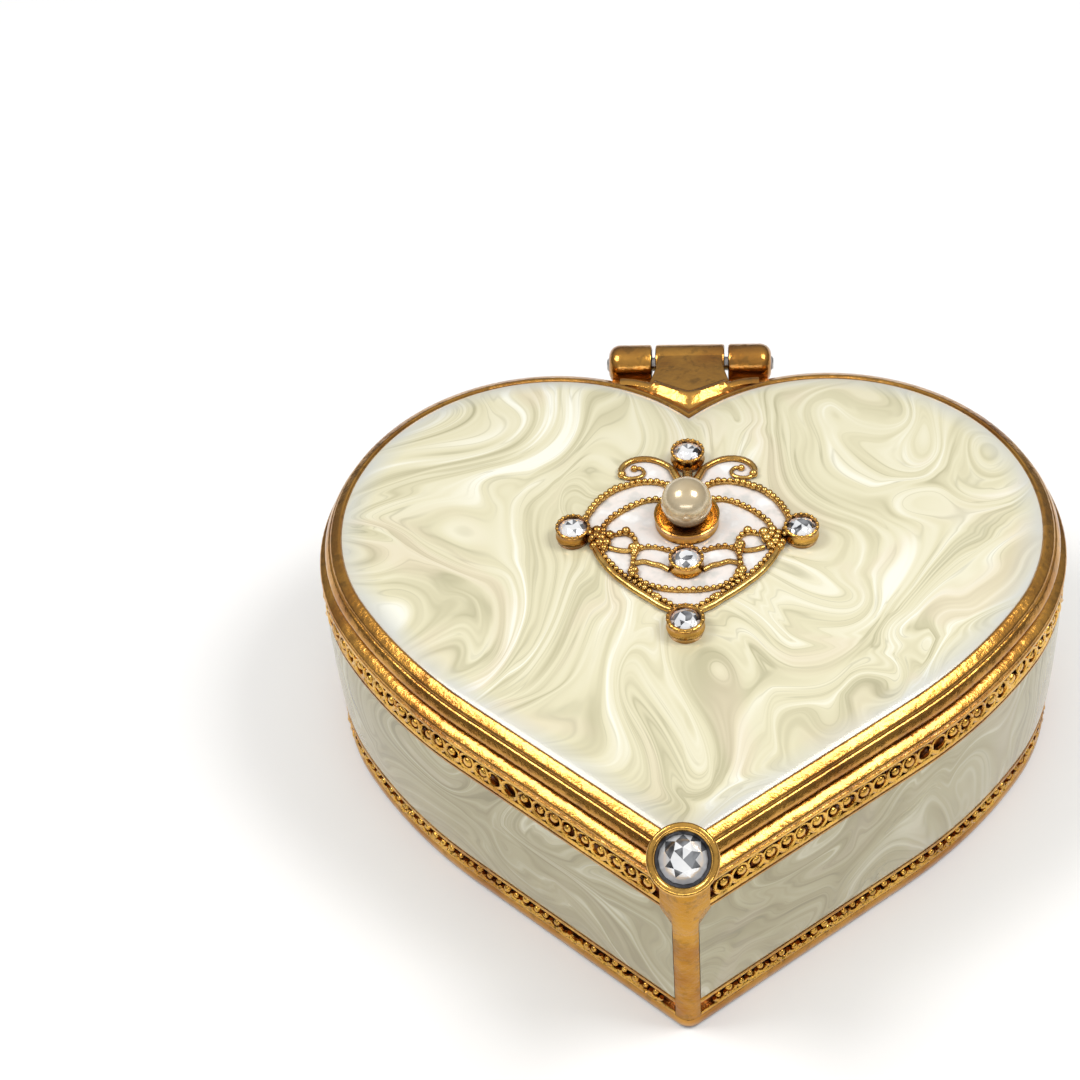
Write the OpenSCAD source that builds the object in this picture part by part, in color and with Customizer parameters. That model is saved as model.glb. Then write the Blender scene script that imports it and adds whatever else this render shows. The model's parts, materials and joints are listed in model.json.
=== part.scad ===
// Heart-shaped hinged trinket box with enamel panels, a pearl ornament and a magnetic catch.
// +X runs across the lobes, the heart's tip points to -Y, the hinge is at +Y and the box
// stands on Z = 0. The origin is under the middle of the whole object's bounding box.

/* [Heart outline] */
// Width across both lobes at the base rim
heart_w = 60; // [54:0.5:66]
// Radius of the round top of each lobe
lobe_r = 18.5; // [17.5:0.1:19.5]
// Radius of the shoulder that follows the lobe
shoulder_r = 44; // [40:1:60]
// Angle below the X axis at which the lobe runs into the shoulder
shoulder_angle = 33.5; // [28:0.5:38]
// Angle below the X axis of the flank's outward normal
flank_angle = 52; // [48:0.5:56]
// Radius that rounds the tip of the heart
tip_r = 1.4; // [1:0.1:2]

/* [Base casting] */
// Height of the base rim
base_h = 19.2; // [16:0.1:24]
// Thickness of the casting under the bowl
floor_t = 1.7; // [1.4:0.1:2.4]
// Wall thickness from the rim's outside to the lid socket
wall_t = 2.2; // [2:0.1:2.6]
// Depth of the lid socket below the rim
socket_depth = 3.2; // [2.4:0.1:4]
// Width of the ledge under the lid socket
ledge_w = 0.5; // [0.3:0.1:0.8]
// Depth of the shallow recess under the base
foot_recess = 0.4; // [0.2:0.1:0.6]
// Width of the standing edge round that recess
foot_w = 2.4; // [2:0.1:4]

/* [Side panels and strips] */
// Height of the lower edge of the side enamel
panel_z0 = 3.6; // [3.4:0.1:4.5]
// Height of the upper edge of the side enamel
panel_z1 = 15; // [14:0.1:15.2]
// Depth of the recess that holds the side enamel
panel_depth = 0.7; // [0.5:0.1:0.9]
// How far the side enamel bulges past the rim
panel_bulge = 0.2; // [0:0.05:0.3]
// Width of the plain rib at the tip and at the cleft
rib_w = 1.9; // [1.5:0.1:2.5]
// Height of the lower edge of the lower beaded strip
lower_strip_z = 1.3; // [1:0.1:1.6]
// Height of the lower edge of the upper beaded strip
upper_strip_z = 15.3; // [15.2:0.1:16]
// Height of the upper edge of the upper beaded strip
upper_strip_top = 18.2; // [17.8:0.1:18.5]
// Depth of the seats of both beaded strips
strip_depth = 0.7; // [0.5:0.1:0.9]
// Height of the thin rims along the strips
strip_rim = 0.45; // [0.3:0.05:0.6]
// Pitch of the beads along the upper strip
upper_pitch = 1.85; // [1.6:0.05:2.4]
// Radius of the beads of the upper strip
upper_bead_r = 0.62; // [0.4:0.02:0.7]
// Pitch of the beads along the lower strip
lower_pitch = 1.3; // [1.2:0.05:2]
// Radius of the beads of the lower strip
lower_bead_r = 0.42; // [0.3:0.02:0.5]

/* [Lid] */
// Gap between the closed lid and the base rim
seam_gap = 0.25; // [0.05:0.01:0.3]
// How far the lid outline stands inside the base outline
lid_inset = 0.6; // [0.3:0.05:1]
// Height of the lid's gold edge
lid_edge_h = 1.9; // [1.6:0.1:2.6]
// Width of the rounded gold bead round the enamel
lid_bead_w = 1.5; // [1.2:0.05:1.8]
// Thickness of the lid's cast plate
lid_plate_t = 1.1; // [0.9:0.1:1.4]
// Rise of the enamel dome above the bead
dome_h = 1.7; // [1:0.1:2.4]
// Width of the dome's level crown
crown_w = 25; // [22:0.5:30]
// Length of the dome's level crown
crown_l = 22.4; // [22:0.2:24]
// Distance of the crown's middle in front of the lobe centres
crown_front = 4.1; // [3.7:0.1:4.5]
// Depth of the plug ring below the seam
plug_depth = 1.6; // [1.2:0.1:2.4]
// Clearance between the plug ring and the lid socket
plug_gap = 0.35; // [0.25:0.05:0.6]
// Width of the plug ring
plug_w = 0.9; // [0.7:0.1:1.4]

/* [Hinge] */
// Distance of the hinge axis behind the lobe centres
hinge_back = 20.5; // [20.3:0.1:21.5]
// Height of the hinge axis
hinge_z = 19.3; // [19:0.1:19.4]
// Outer radius of the hinge barrel
barrel_r = 1.7; // [1.5:0.05:1.8]
// Radius of the hinge pin
pin_r = 0.6; // [0.5:0.05:0.7]
// Radial clearance of the pin in the lid's knuckle
pin_clear = 0.05; // [0.02:0.01:0.08]
// Overall length of the barrel
barrel_l = 14; // [12:0.5:16]
// Length of the lid's centre knuckle
knuckle_l = 6; // [5:0.5:7]
// Gap between neighbouring knuckles
knuckle_gap = 0.3; // [0.2:0.05:0.5]

/* [Magnetic catch] */
// Outer radius of the gold rings round both magnets
cup_r = 4.65; // [4.4:0.05:4.9]
// Radius of both magnets
magnet_r = 3.9; // [3.6:0.05:4]
// Thickness of each magnet
magnet_t = 1.5; // [1:0.1:2]
// Height of the base magnet's ring
cup_top = 16; // [15:0.1:17]
// How far the base magnet sits below the edge of its ring
base_sink = 1.6; // [0.4:0.1:2]
// How far the lid magnet sits inside the edge of its ring
lid_sink = 0.4; // [0.2:0.1:0.8]

/* [Ornament] */
// Distance of the pearl in front of the lobe centres
pearl_front = 2.2; // [1.2:0.1:3.2]
// Radius of the pearl
pearl_r = 2; // [1.6:0.1:2.4]
// Outer radius of the pearl's cup
pearl_cup_r = 2.6; // [2.3:0.05:2.9]
// Radius of the small crystals
stone_r = 1.15; // [1:0.05:1.3]
// Outer radius of the small crystals' bezels
bezel_r = 1.5; // [1.4:0.05:1.7]
// Height of the small bezels above the enamel
bezel_h = 1.2; // [0.9:0.1:1.6]
// Thickness of the filigree wires
wire_w = 0.45; // [0.35:0.05:0.6]
// Radius of the clear crystal in the thumb piece
thumb_stone_r = 1.75; // [1.6:0.05:1.9]
// Outer radius of the thumb piece's bezel
thumb_r = 2.6; // [2.4:0.05:2.8]
// Backward lean of the thumb piece's bezel
thumb_tilt = 38; // [30:1:50]

/* [Hidden] */
$fn = 48;

gold = "goldenrod";
cream = "ivory";
tiny = 0.01;                                        // overlap that keeps cuts clean
lobe_x = heart_w / 2 - lobe_r;                      // lobe centre to the middle plane

culet = 0.14;                                       // flat under a stone, share of its radius

// Thumb piece: centre of its face, measured from the lobe centres, and its height
thumb_front = 34.037;
thumb_face_z = 22.75;
thumb_depth = 2.8;                                  // bezel face to its back
thumb_back_r = 1.5;                                 // bezel radius at its back

// The bounding box runs from the thumb piece's lower rim to the back of the barrel
front_y = -thumb_front - thumb_r * cos(thumb_tilt);
back_y = hinge_back + barrel_r;
lobe_y = -(front_y + back_y) / 2;                   // lobe centres above the origin
hinge_y = lobe_y + hinge_back;

// Lid levels
lid_z0 = base_h + seam_gap;
lid_z1 = lid_z0 + lid_edge_h;                       // edge of the top enamel
lid_floor = lid_z1 - 0.8;                           // floor of the top enamel's tray
plate_z0 = lid_floor - lid_plate_t;
dome_z = lid_z1 + dome_h;
plug_z = lid_z0 - plug_depth;
plug_out = wall_t + plug_gap;                       // plug ring's inset from the outline
plug_in = plug_out + plug_w;

// Outline of the heart, inset by d, as arcs that run into each other
shoulder_c = [
    lobe_x - (shoulder_r - lobe_r) * cos(shoulder_angle),
    (shoulder_r - lobe_r) * sin(shoulder_angle)
];
flank_reach = shoulder_c.x * cos(flank_angle) - shoulder_c.y * sin(flank_angle) + shoulder_r;
function turn(a0, a1, i, n) = a0 + (a1 - a0) * i / n;
function arc(c, r, a0, a1, n) =
    [for (i = [0:n]) c + r * [cos(turn(a0, a1, i, n)), sin(turn(a0, a1, i, n))]];
function flank_apex(d) = -(flank_reach - d) / sin(flank_angle);
function cleft_angle(r) = acos(-lobe_x / r);
function between(p, q, n) = n < 1 ? [] : [for (i = [1:n]) p + (q - p) * i / (n + 1)];
function right_half(d, flank_steps) =
    let (
        tip = max(tip_r - d, 0.3),
        shoulder = arc(shoulder_c, shoulder_r - d, -shoulder_angle - 2, -flank_angle, 5),
        nose = arc([0, flank_apex(d) + tip / sin(flank_angle)], tip, -flank_angle, -90, 4)
    )
    concat(
        arc([lobe_x, 0], lobe_r - d, cleft_angle(lobe_r - d), -shoulder_angle, 30),
        shoulder,
        between(shoulder[5], nose[0], flank_steps),
        nose
    );
function mirrored(points) = [for (i = [len(points) - 2:-1:1]) [-points[i].x, points[i].y]];
function heart(d, flank_steps = 0) =
    let (half = right_half(d, flank_steps))
    [for (p = concat(half, mirrored(half))) p + [0, lobe_y]];

// The magnets sit where their ring just touches both inner flanks
magnet_y = flank_apex(wall_t + cup_r) + lobe_y;
pearl_y = lobe_y - pearl_front;

// Where a point at arc length s along one side lies, and which way the wall faces there
shoulder_turn = flank_angle - shoulder_angle;
lobe_turn = cleft_angle(lobe_r) + shoulder_angle;
lobe_len = lobe_r * lobe_turn * PI / 180;
shoulder_len = shoulder_r * shoulder_turn * PI / 180;
flank_foot = shoulder_c + shoulder_r * [cos(flank_angle), -sin(flank_angle)];
flank_len = flank_foot.x / sin(flank_angle);
function wall_angle(s) =
    s < lobe_len ? cleft_angle(lobe_r) - s / lobe_r * 180 / PI :
    s < lobe_len + shoulder_len ? -shoulder_angle - (s - lobe_len) / shoulder_r * 180 / PI :
    -flank_angle;
function wall_point(s) =
    let (a = wall_angle(s), n = [cos(a), sin(a)])
    s < lobe_len ? [lobe_x, 0] + lobe_r * n :
    s < lobe_len + shoulder_len ? shoulder_c + shoulder_r * n :
    flank_foot - (s - lobe_len - shoulder_len) * [sin(flank_angle), cos(flank_angle)];

module heart_slab(d, z0, z1) {
    translate([0, 0, z0])
        linear_extrude(z1 - z0)
            polygon(heart(d));
}

// A band between two insets, from z0 to z1
module heart_band(d_out, d_in, z0, z1) {
    difference() {
        heart_slab(d_out, z0, z1);
        heart_slab(d_in, z0 - tiny, z1 + tiny);
    }
}

// A closed skin through rings of equal point count: each ring is a list of 3-D points
module skin(rings) {
    n = len(rings[0]);
    last = len(rings) - 1;
    polyhedron(
        points = [for (ring = rings) for (p = ring) p],
        faces = concat(
            [[for (i = [n - 1:-1:0]) i]],
            [for (k = [0:last - 1]) for (i = [0:n - 1])
                [k * n + i, k * n + (i + 1) % n, (k + 1) * n + (i + 1) % n, (k + 1) * n + i]],
            [[for (i = [0:n - 1]) last * n + i]]
        ),
        convexity = 6
    );
}
function ring_at(d, z) = [for (p = heart(d)) [p.x, p.y, z]];

// Ring of the lid's dome: t runs from the heart-shaped edge to the oval crown
function crown_point(p) =
    let (c = [0, lobe_y - crown_front], a = atan2((p.y - c.y) * crown_w, (p.x - c.x) * crown_l))
    c + [crown_w / 2 * cos(a), crown_l / 2 * sin(a)];
function dome_ring(d, t) =
    [for (p = heart(d, 5))
        let (q = p + (crown_point(p) - p) * t)
        [q.x, q.y, lid_z1 + dome_h * (1 - pow(1 - t, 1.7))]];

// Keeps one side of the box, clear of the ribs at tip and cleft
module side_half(side) {
    intersection() {
        children();
        translate([side > 0 ? rib_w / 2 : -heart_w, -heart_w, -1])
            cube([heart_w - rib_w / 2, 2 * heart_w, 2 * heart_w]);
    }
}

module both_sides() {
    children();
    mirror([1, 0, 0]) children();
}

// ---- base -------------------------------------------------------------------------------

module base_knuckle() {
    x0 = knuckle_l / 2 + knuckle_gap;
    length = barrel_l / 2 - x0;
    arm_z = upper_strip_top + 0.05;
    translate([x0, hinge_y, hinge_z])
        rotate([0, 90, 0])
            cylinder(r = barrel_r, h = length);
    translate([x0, lobe_y + lobe_r - 2.6, arm_z])
        cube([length, hinge_back - lobe_r + 2.6, base_h - 0.05 - arm_z]);
}

// Gold web that closes the narrow corner between the magnet ring and the tip
module tip_corner(z0, z1) {
    reach = 10;
    translate([-cup_r, magnet_y - 3 - reach, z0])
        cube([2 * cup_r, reach, z1 - z0]);
}

module base_shell() {
    ledge_z = base_h - socket_depth;
    color(gold)
        difference() {
            union() {
                difference() {
                    heart_slab(0, 0, base_h);
                    heart_slab(wall_t, ledge_z, base_h + 1);
                    heart_slab(wall_t + ledge_w, floor_t, ledge_z + tiny);
                    heart_slab(foot_w, -1, foot_recess);
                    for (side = [-1, 1])
                        side_half(side) {
                            union() {
                                heart_band(-1, panel_depth, panel_z0, panel_z1);
                                heart_band(-1, strip_depth, lower_strip_z, panel_z0 - 0.3);
                                heart_band(-1, strip_depth, upper_strip_z, upper_strip_top);
                            }
                        }
                }
                intersection() {
                    union() {
                        translate([0, magnet_y, floor_t - tiny])
                            cylinder(r = cup_r, h = cup_top - floor_t);
                        tip_corner(floor_t - tiny, cup_top);
                    }
                    heart_slab(wall_t - 0.2, 0, base_h);
                }
                both_sides() base_knuckle();
            }
            translate([0, magnet_y, cup_top - base_sink - magnet_t])
                cylinder(r = magnet_r, h = 10);
            translate([-barrel_l, hinge_y, hinge_z])
                rotate([0, 90, 0])
                    cylinder(r = pin_r, h = 2 * barrel_l);
        }
}

// Enamel panel of the right side, slightly bulged between its edges
module side_enamel() {
    steps = 4;
    color(cream)
        difference() {
            skin([for (i = [0:steps])
                let (t = i / steps)
                ring_at(-panel_bulge * 4 * t * (1 - t), panel_z0 + (panel_z1 - panel_z0) * t)]);
            heart_slab(panel_depth, panel_z0 - 1, panel_z1 + 1);
            translate([rib_w / 2 - heart_w, -heart_w, -1])
                cube([heart_w, 2 * heart_w, 2 * heart_w]);
        }
}

module left_side_enamel() mirror([1, 0, 0]) side_enamel();
module right_side_enamel() side_enamel();

// One half of a beaded strip: two thin rims and a row of beads on a backing
module beaded_half(side, z0, z1, pitch, bead_r) {
    side_len = lobe_len + shoulder_len + flank_len - rib_w;
    count = floor(side_len / pitch);
    backing = 0.25;
    root = 0.06;
    side_half(side)
        union() {
            heart_band(strip_depth - backing, strip_depth, z0, z1);
            heart_band(0.05, strip_depth, z0, z0 + strip_rim);
            heart_band(0.05, strip_depth, z1 - strip_rim, z1);
        }
    for (i = [0:count - 1]) {
        s = rib_w + (i + 0.5) * pitch;
        p = wall_point(s);
        a = wall_angle(s);
        n = [cos(a), sin(a)];
        at = p - (strip_depth - backing + root) * n;
        if (at.x > rib_w / 2 + bead_r)
            translate([side * at.x, at.y + lobe_y, (z0 + z1) / 2])
                rotate([0, 90, side > 0 ? a : 180 - a])
                    cylinder(r = bead_r, h = strip_depth - backing, $fn = 8);
    }
}

module upper_beaded_strip() {
    color(gold)
        for (side = [-1, 1])
            beaded_half(side, upper_strip_z, upper_strip_top, upper_pitch, upper_bead_r);
}

module lower_beaded_strip() {
    color(gold)
        for (side = [-1, 1])
            beaded_half(side, lower_strip_z, panel_z0 - 0.3, lower_pitch, lower_bead_r);
}

// Enamel that lines the bowl: a filleted hollow inside the casting's cavity
module bowl_enamel() {
    outer = wall_t + ledge_w;
    skin_t = 0.6;
    fillet = 3;
    steps = 5;
    floor_z = floor_t + 0.7;
    top_z = base_h - socket_depth;
    color("cornsilk")
        difference() {
            heart_slab(outer, floor_t, top_z);
            skin(concat(
                [for (i = [0:steps])
                    let (a = 90 * i / steps)
                    ring_at(outer + skin_t + fillet * (1 - sin(a)), floor_z + fillet * (1 - cos(a)))],
                [ring_at(outer + skin_t, top_z + 1)]
            ));
            translate([0, magnet_y, 0])
                cylinder(r = cup_r, h = base_h);
            tip_corner(0, base_h);
        }
}

module magnet_disc(z) {
    color("silver")
        translate([0, magnet_y, z])
            cylinder(r = magnet_r, h = magnet_t);
}

module base_magnet() magnet_disc(cup_top - base_sink - magnet_t);

module hinge_pin() {
    pin_l = barrel_l + 0.4;
    color("gray")
        translate([-pin_l / 2, hinge_y, hinge_z])
            rotate([0, 90, 0])
                cylinder(r = pin_r, h = pin_l);
}

// ---- lid --------------------------------------------------------------------------------

module lid_knuckle() {
    leaf_z = lid_z0 + 0.15;
    leaf_t = 1.3;
    translate([-knuckle_l / 2, hinge_y, hinge_z])
        rotate([0, 90, 0])
            cylinder(r = barrel_r, h = knuckle_l);
    translate([-knuckle_l / 2, lobe_y + 11.5, leaf_z])
        cube([knuckle_l, hinge_back - 11.5, leaf_t]);
}

module lid_magnet_ring() {
    intersection() {
        translate([0, magnet_y, plug_z])
            cylinder(r = cup_r, h = plate_z0 - plug_z + tiny);
        heart_slab(plug_out + tiny, 0, lid_z1);
    }
}

module lid_shell() {
    tray = lid_inset + lid_bead_w;
    color(gold)
        difference() {
            union() {
                heart_slab(lid_inset, lid_z0, lid_z1);
                heart_slab(plug_out, plug_z, lid_z0 + tiny);
                lid_knuckle();
            }
            heart_slab(tray, lid_floor, lid_z1 + 1);
            difference() {
                heart_slab(plug_in, plug_z - 1, plate_z0);
                lid_magnet_ring();
            }
            translate([0, magnet_y, plug_z - 1])
                cylinder(r = magnet_r, h = lid_sink + magnet_t + 1);
            translate([-barrel_l, hinge_y, hinge_z])
                rotate([0, 90, 0])
                    cylinder(r = pin_r + pin_clear, h = 2 * barrel_l);
            thumb_cutter();
        }
}

module lid_top_enamel() {
    edge = lid_inset + lid_bead_w;
    steps = 5;
    color(cream)
        difference() {
            skin(concat(
                [[for (p = heart(edge, 5)) [p.x, p.y, lid_floor]]],
                [for (i = [0:steps]) dome_ring(edge, i / steps)]
            ));
            thumb_cutter();
        }
}

module lid_inner_enamel() {
    color("cornsilk")
        difference() {
            heart_slab(plug_in, plug_z + 0.5, plate_z0);
            translate([0, magnet_y, 0])
                cylinder(r = cup_r, h = base_h + 5);
        }
}

module lid_magnet() magnet_disc(plug_z + lid_sink);

// ---- thumb piece ------------------------------------------------------------------------

// Places children with their +Z along the bezel's axis, from the middle of its face
module on_thumb_face() {
    translate([0, lobe_y - thumb_front, thumb_face_z])
        rotate([thumb_tilt, 0, 0])
            children();
}

module thumb_body(extra) {
    on_thumb_face()
        translate([0, 0, -thumb_depth])
            cylinder(r1 = thumb_back_r + extra, r2 = thumb_r + extra, h = thumb_depth);
}

// Room for the thumb piece in the lid's tip
module thumb_cutter() {
    thumb_body(0);
}

module thumb_bezel() {
    seat = 0.9;
    color(gold)
        intersection() {
            difference() {
                thumb_body(0);
                on_thumb_face()
                    translate([0, 0, -seat])
                        stone_seat(thumb_stone_r, 1.2);
            }
            translate([-heart_w, -heart_w, lid_z0])
                cube(2 * heart_w);
        }
}

// A brilliant-cut stone: pavilion, girdle and crown, with its girdle's foot at z = 0
module brilliant(r, pavilion, girdle, crown) {
    translate([0, 0, -pavilion])
        cylinder(r1 = r * culet, r2 = r, h = pavilion);
    cylinder(r = r, h = girdle);
    translate([0, 0, girdle])
        cylinder(r1 = r, r2 = r * 0.6, h = crown);
}

// The hollow that a stone sits in
module stone_seat(r, pavilion) {
    translate([0, 0, -pavilion])
        cylinder(r1 = r * culet, r2 = r, h = pavilion);
    cylinder(r = r, h = 2 * pavilion);
}

module thumb_crystal() {
    color("white")
        on_thumb_face()
            translate([0, 0, -0.9])
                brilliant(thumb_stone_r, 1.2, 0.4, 0.7);
}

// ---- ornament ---------------------------------------------------------------------------

plate_t = 0.2;                                      // white enamel inside the filigree
stone_places = [[0, 7.0], [-8.9, -1.4], [8.9, -1.4], [0, -4.7], [0, -10.9]];

module at_stone(i) {
    translate([stone_places[i].x, pearl_y + stone_places[i].y, dome_z])
        children();
}

module stone_bezel(i) {
    color(gold)
        at_stone(i)
            difference() {
                cylinder(r1 = bezel_r, r2 = bezel_r - 0.1, h = bezel_h);
                translate([0, 0, bezel_h - 0.45])
                    stone_seat(stone_r, 0.6);
            }
}

module stone(i) {
    color("white")
        at_stone(i)
            translate([0, 0, bezel_h - 0.45])
                brilliant(stone_r, 0.6, 0.2, 0.4);
}

module top_bezel() stone_bezel(0);
module left_bezel() stone_bezel(1);
module right_bezel() stone_bezel(2);
module centre_bezel() stone_bezel(3);
module bottom_bezel() stone_bezel(4);
module top_crystal() stone(0);
module left_crystal() stone(1);
module right_crystal() stone(2);
module centre_crystal() stone(3);
module bottom_crystal() stone(4);

module all_bezel_cuts() {
    for (i = [0:4])
        at_stone(i)
            translate([0, 0, -1])
                cylinder(r = bezel_r, h = 4);
    translate([0, pearl_y, dome_z - 1])
        cylinder(r = pearl_cup_r, h = 4);
}

// Outline of the ornament: two round shoulders and two straight sides to the bottom stone
module ornament_plan() {
    translate([-3.4, -0.45]) circle(r = 5.1);
    translate([3.4, -0.45]) circle(r = 5.1);
    polygon([[-8.2, -2.3], [-7.6, -3.6], [-0.6, -10], [0.6, -10], [7.6, -3.6], [8.2, -2.3], [0, 3]]);
}

module filigree_enamel() {
    color("snow")
        difference() {
            translate([0, pearl_y, dome_z])
                linear_extrude(plate_t)
                    ornament_plan();
            all_bezel_cuts();
        }
}

// A bar bent to an arc about c, between angles a0 and a1
module arc_bar(c, r, a0, a1) {
    steps = 12;
    translate(c)
        polygon(concat(
            [for (i = [0:steps]) let (a = a0 + (a1 - a0) * i / steps) (r + wire_w / 2) * [cos(a), sin(a)]],
            [for (i = [steps:-1:0]) let (a = a0 + (a1 - a0) * i / steps) (r - wire_w / 2) * [cos(a), sin(a)]]
        ));
}

module straight_bar(p, q) {
    way = (q - p) / norm(q - p);
    across = [-way.y, way.x] * wire_w / 2;
    polygon([p + across, q + across, q - across, p - across]);
}

module filigree_half() {
    arc_bar([3.4, -0.5], 5, -12, 133);
    arc_bar([3, -1.6], 4.1, -16, 112);
    arc_bar([3, 4.6], 2.3, -20, 158);
    straight_bar([8.2, -2.3], [7.2, -4.1]);
    straight_bar([7.5, -3.6], [0.6, -10]);
    straight_bar([4.1, -3.2], [4.1, -6.6]);
    straight_bar([1, -4.3], [8, -2.2]);
}

// Collars round the bezels and the pearl's cup, joined by short stems on the middle line
module filigree_collars() {
    collar = 0.3;
    for (place = stone_places)
        translate(place)
            circle(r = bezel_r + collar);
    circle(r = pearl_cup_r + collar);
    translate([-wire_w, 2])
        square([2 * wire_w, 4]);
    translate([-wire_w, -3.6])
        square([2 * wire_w, 1.2]);
}

module filigree_frame() {
    wire_h = 0.5;
    color(gold)
        difference() {
            translate([0, pearl_y, dome_z + plate_t])
                linear_extrude(wire_h)
                    union() {
                        filigree_half();
                        mirror([1, 0]) filigree_half();
                        arc_bar([0, -1.2], 6.4, -130, -50);
                        filigree_collars();
                    }
            all_bezel_cuts();
        }
}

module pearl_cup() {
    cup_h = 1.1;
    color(gold)
        difference() {
            translate([0, pearl_y, dome_z])
                cylinder(r1 = pearl_cup_r - 0.3, r2 = pearl_cup_r, h = cup_h);
            translate([0, pearl_y, dome_z + 0.35 + pearl_r])
                sphere(r = pearl_r);
        }
}

module pearl() {
    color("linen")
        translate([0, pearl_y, dome_z + 0.35 + pearl_r])
            sphere(r = pearl_r);
}

base_shell();
left_side_enamel();
right_side_enamel();
upper_beaded_strip();
lower_beaded_strip();
bowl_enamel();
base_magnet();
hinge_pin();
lid_shell();
lid_top_enamel();
lid_inner_enamel();
lid_magnet();
thumb_bezel();
thumb_crystal();
filigree_enamel();
filigree_frame();
pearl_cup();
pearl();
top_bezel();
top_crystal();
left_bezel();
left_crystal();
right_bezel();
right_crystal();
centre_bezel();
centre_crystal();
bottom_bezel();
bottom_crystal();
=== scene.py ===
import json
import math
import bpy
import bmesh
from mathutils import Vector, Matrix


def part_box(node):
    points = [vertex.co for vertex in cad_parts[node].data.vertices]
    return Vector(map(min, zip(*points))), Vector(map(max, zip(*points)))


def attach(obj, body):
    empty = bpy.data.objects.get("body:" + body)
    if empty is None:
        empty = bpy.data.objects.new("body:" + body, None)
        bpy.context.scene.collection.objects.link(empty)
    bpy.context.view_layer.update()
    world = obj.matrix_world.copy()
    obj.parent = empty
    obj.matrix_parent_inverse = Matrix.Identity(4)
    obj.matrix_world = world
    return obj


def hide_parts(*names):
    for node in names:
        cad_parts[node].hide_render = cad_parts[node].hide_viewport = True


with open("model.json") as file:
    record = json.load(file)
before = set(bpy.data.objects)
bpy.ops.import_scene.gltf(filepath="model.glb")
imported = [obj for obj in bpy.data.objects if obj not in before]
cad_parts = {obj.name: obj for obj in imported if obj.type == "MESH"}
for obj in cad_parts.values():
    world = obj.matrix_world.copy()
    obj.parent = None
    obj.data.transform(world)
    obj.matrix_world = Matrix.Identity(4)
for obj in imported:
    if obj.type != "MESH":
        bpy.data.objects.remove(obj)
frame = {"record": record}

MM = 0.001
sin, cos, pi = math.sin, math.cos, math.pi
rad = math.radians


def eased(t):
    """Smooth step for t in 0..1."""
    return t * t * (3 - 2 * t)


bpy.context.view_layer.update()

# ---- anchors from the frame, in millimetres ---------------------------------------------


def lo(node, axis):
    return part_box(node)[0][axis] / MM


def hi(node, axis):
    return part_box(node)[1][axis] / MM


hinge = frame["record"]["behaviour"]["joints"][0]["pos_m"]
HY, HZ = hinge[1] / MM, hinge[2] / MM
LY = HY - 20.5  # lobe centres
BAR_R = (hi("lid_shell", 1) - HY)  # hinge barrel radius
TRAY = lo("lid_top_enamel", 2)  # floor of the lid's tray
LID1 = TRAY + 0.8  # edge of the top enamel
LID0 = LID1 - 1.9  # underside of the lid's flange
RIM = LID0 - 0.25  # base rim
DOME = hi("lid_top_enamel", 2)
UP0, UP1 = lo("upper_beaded_strip", 2), hi("upper_beaded_strip", 2)
LOW0, LOW1 = lo("lower_beaded_strip", 2), hi("lower_beaded_strip", 2)
PAN0, PAN1 = lo("right_side_enamel", 2), hi("right_side_enamel", 2)
LEDGE = hi("bowl_enamel", 2)
FLOOR = lo("bowl_enamel", 2)
CUP = (lo("base_magnet", 1) + hi("base_magnet", 1)) / 2
PX, PY = 0.0, (lo("pearl", 1) + hi("pearl", 1)) / 2
PEARL_R = (hi("pearl", 2) - lo("pearl", 2)) / 2
PEARL_Z = lo("pearl", 2) + PEARL_R

# ---- materials --------------------------------------------------------------------------


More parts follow.
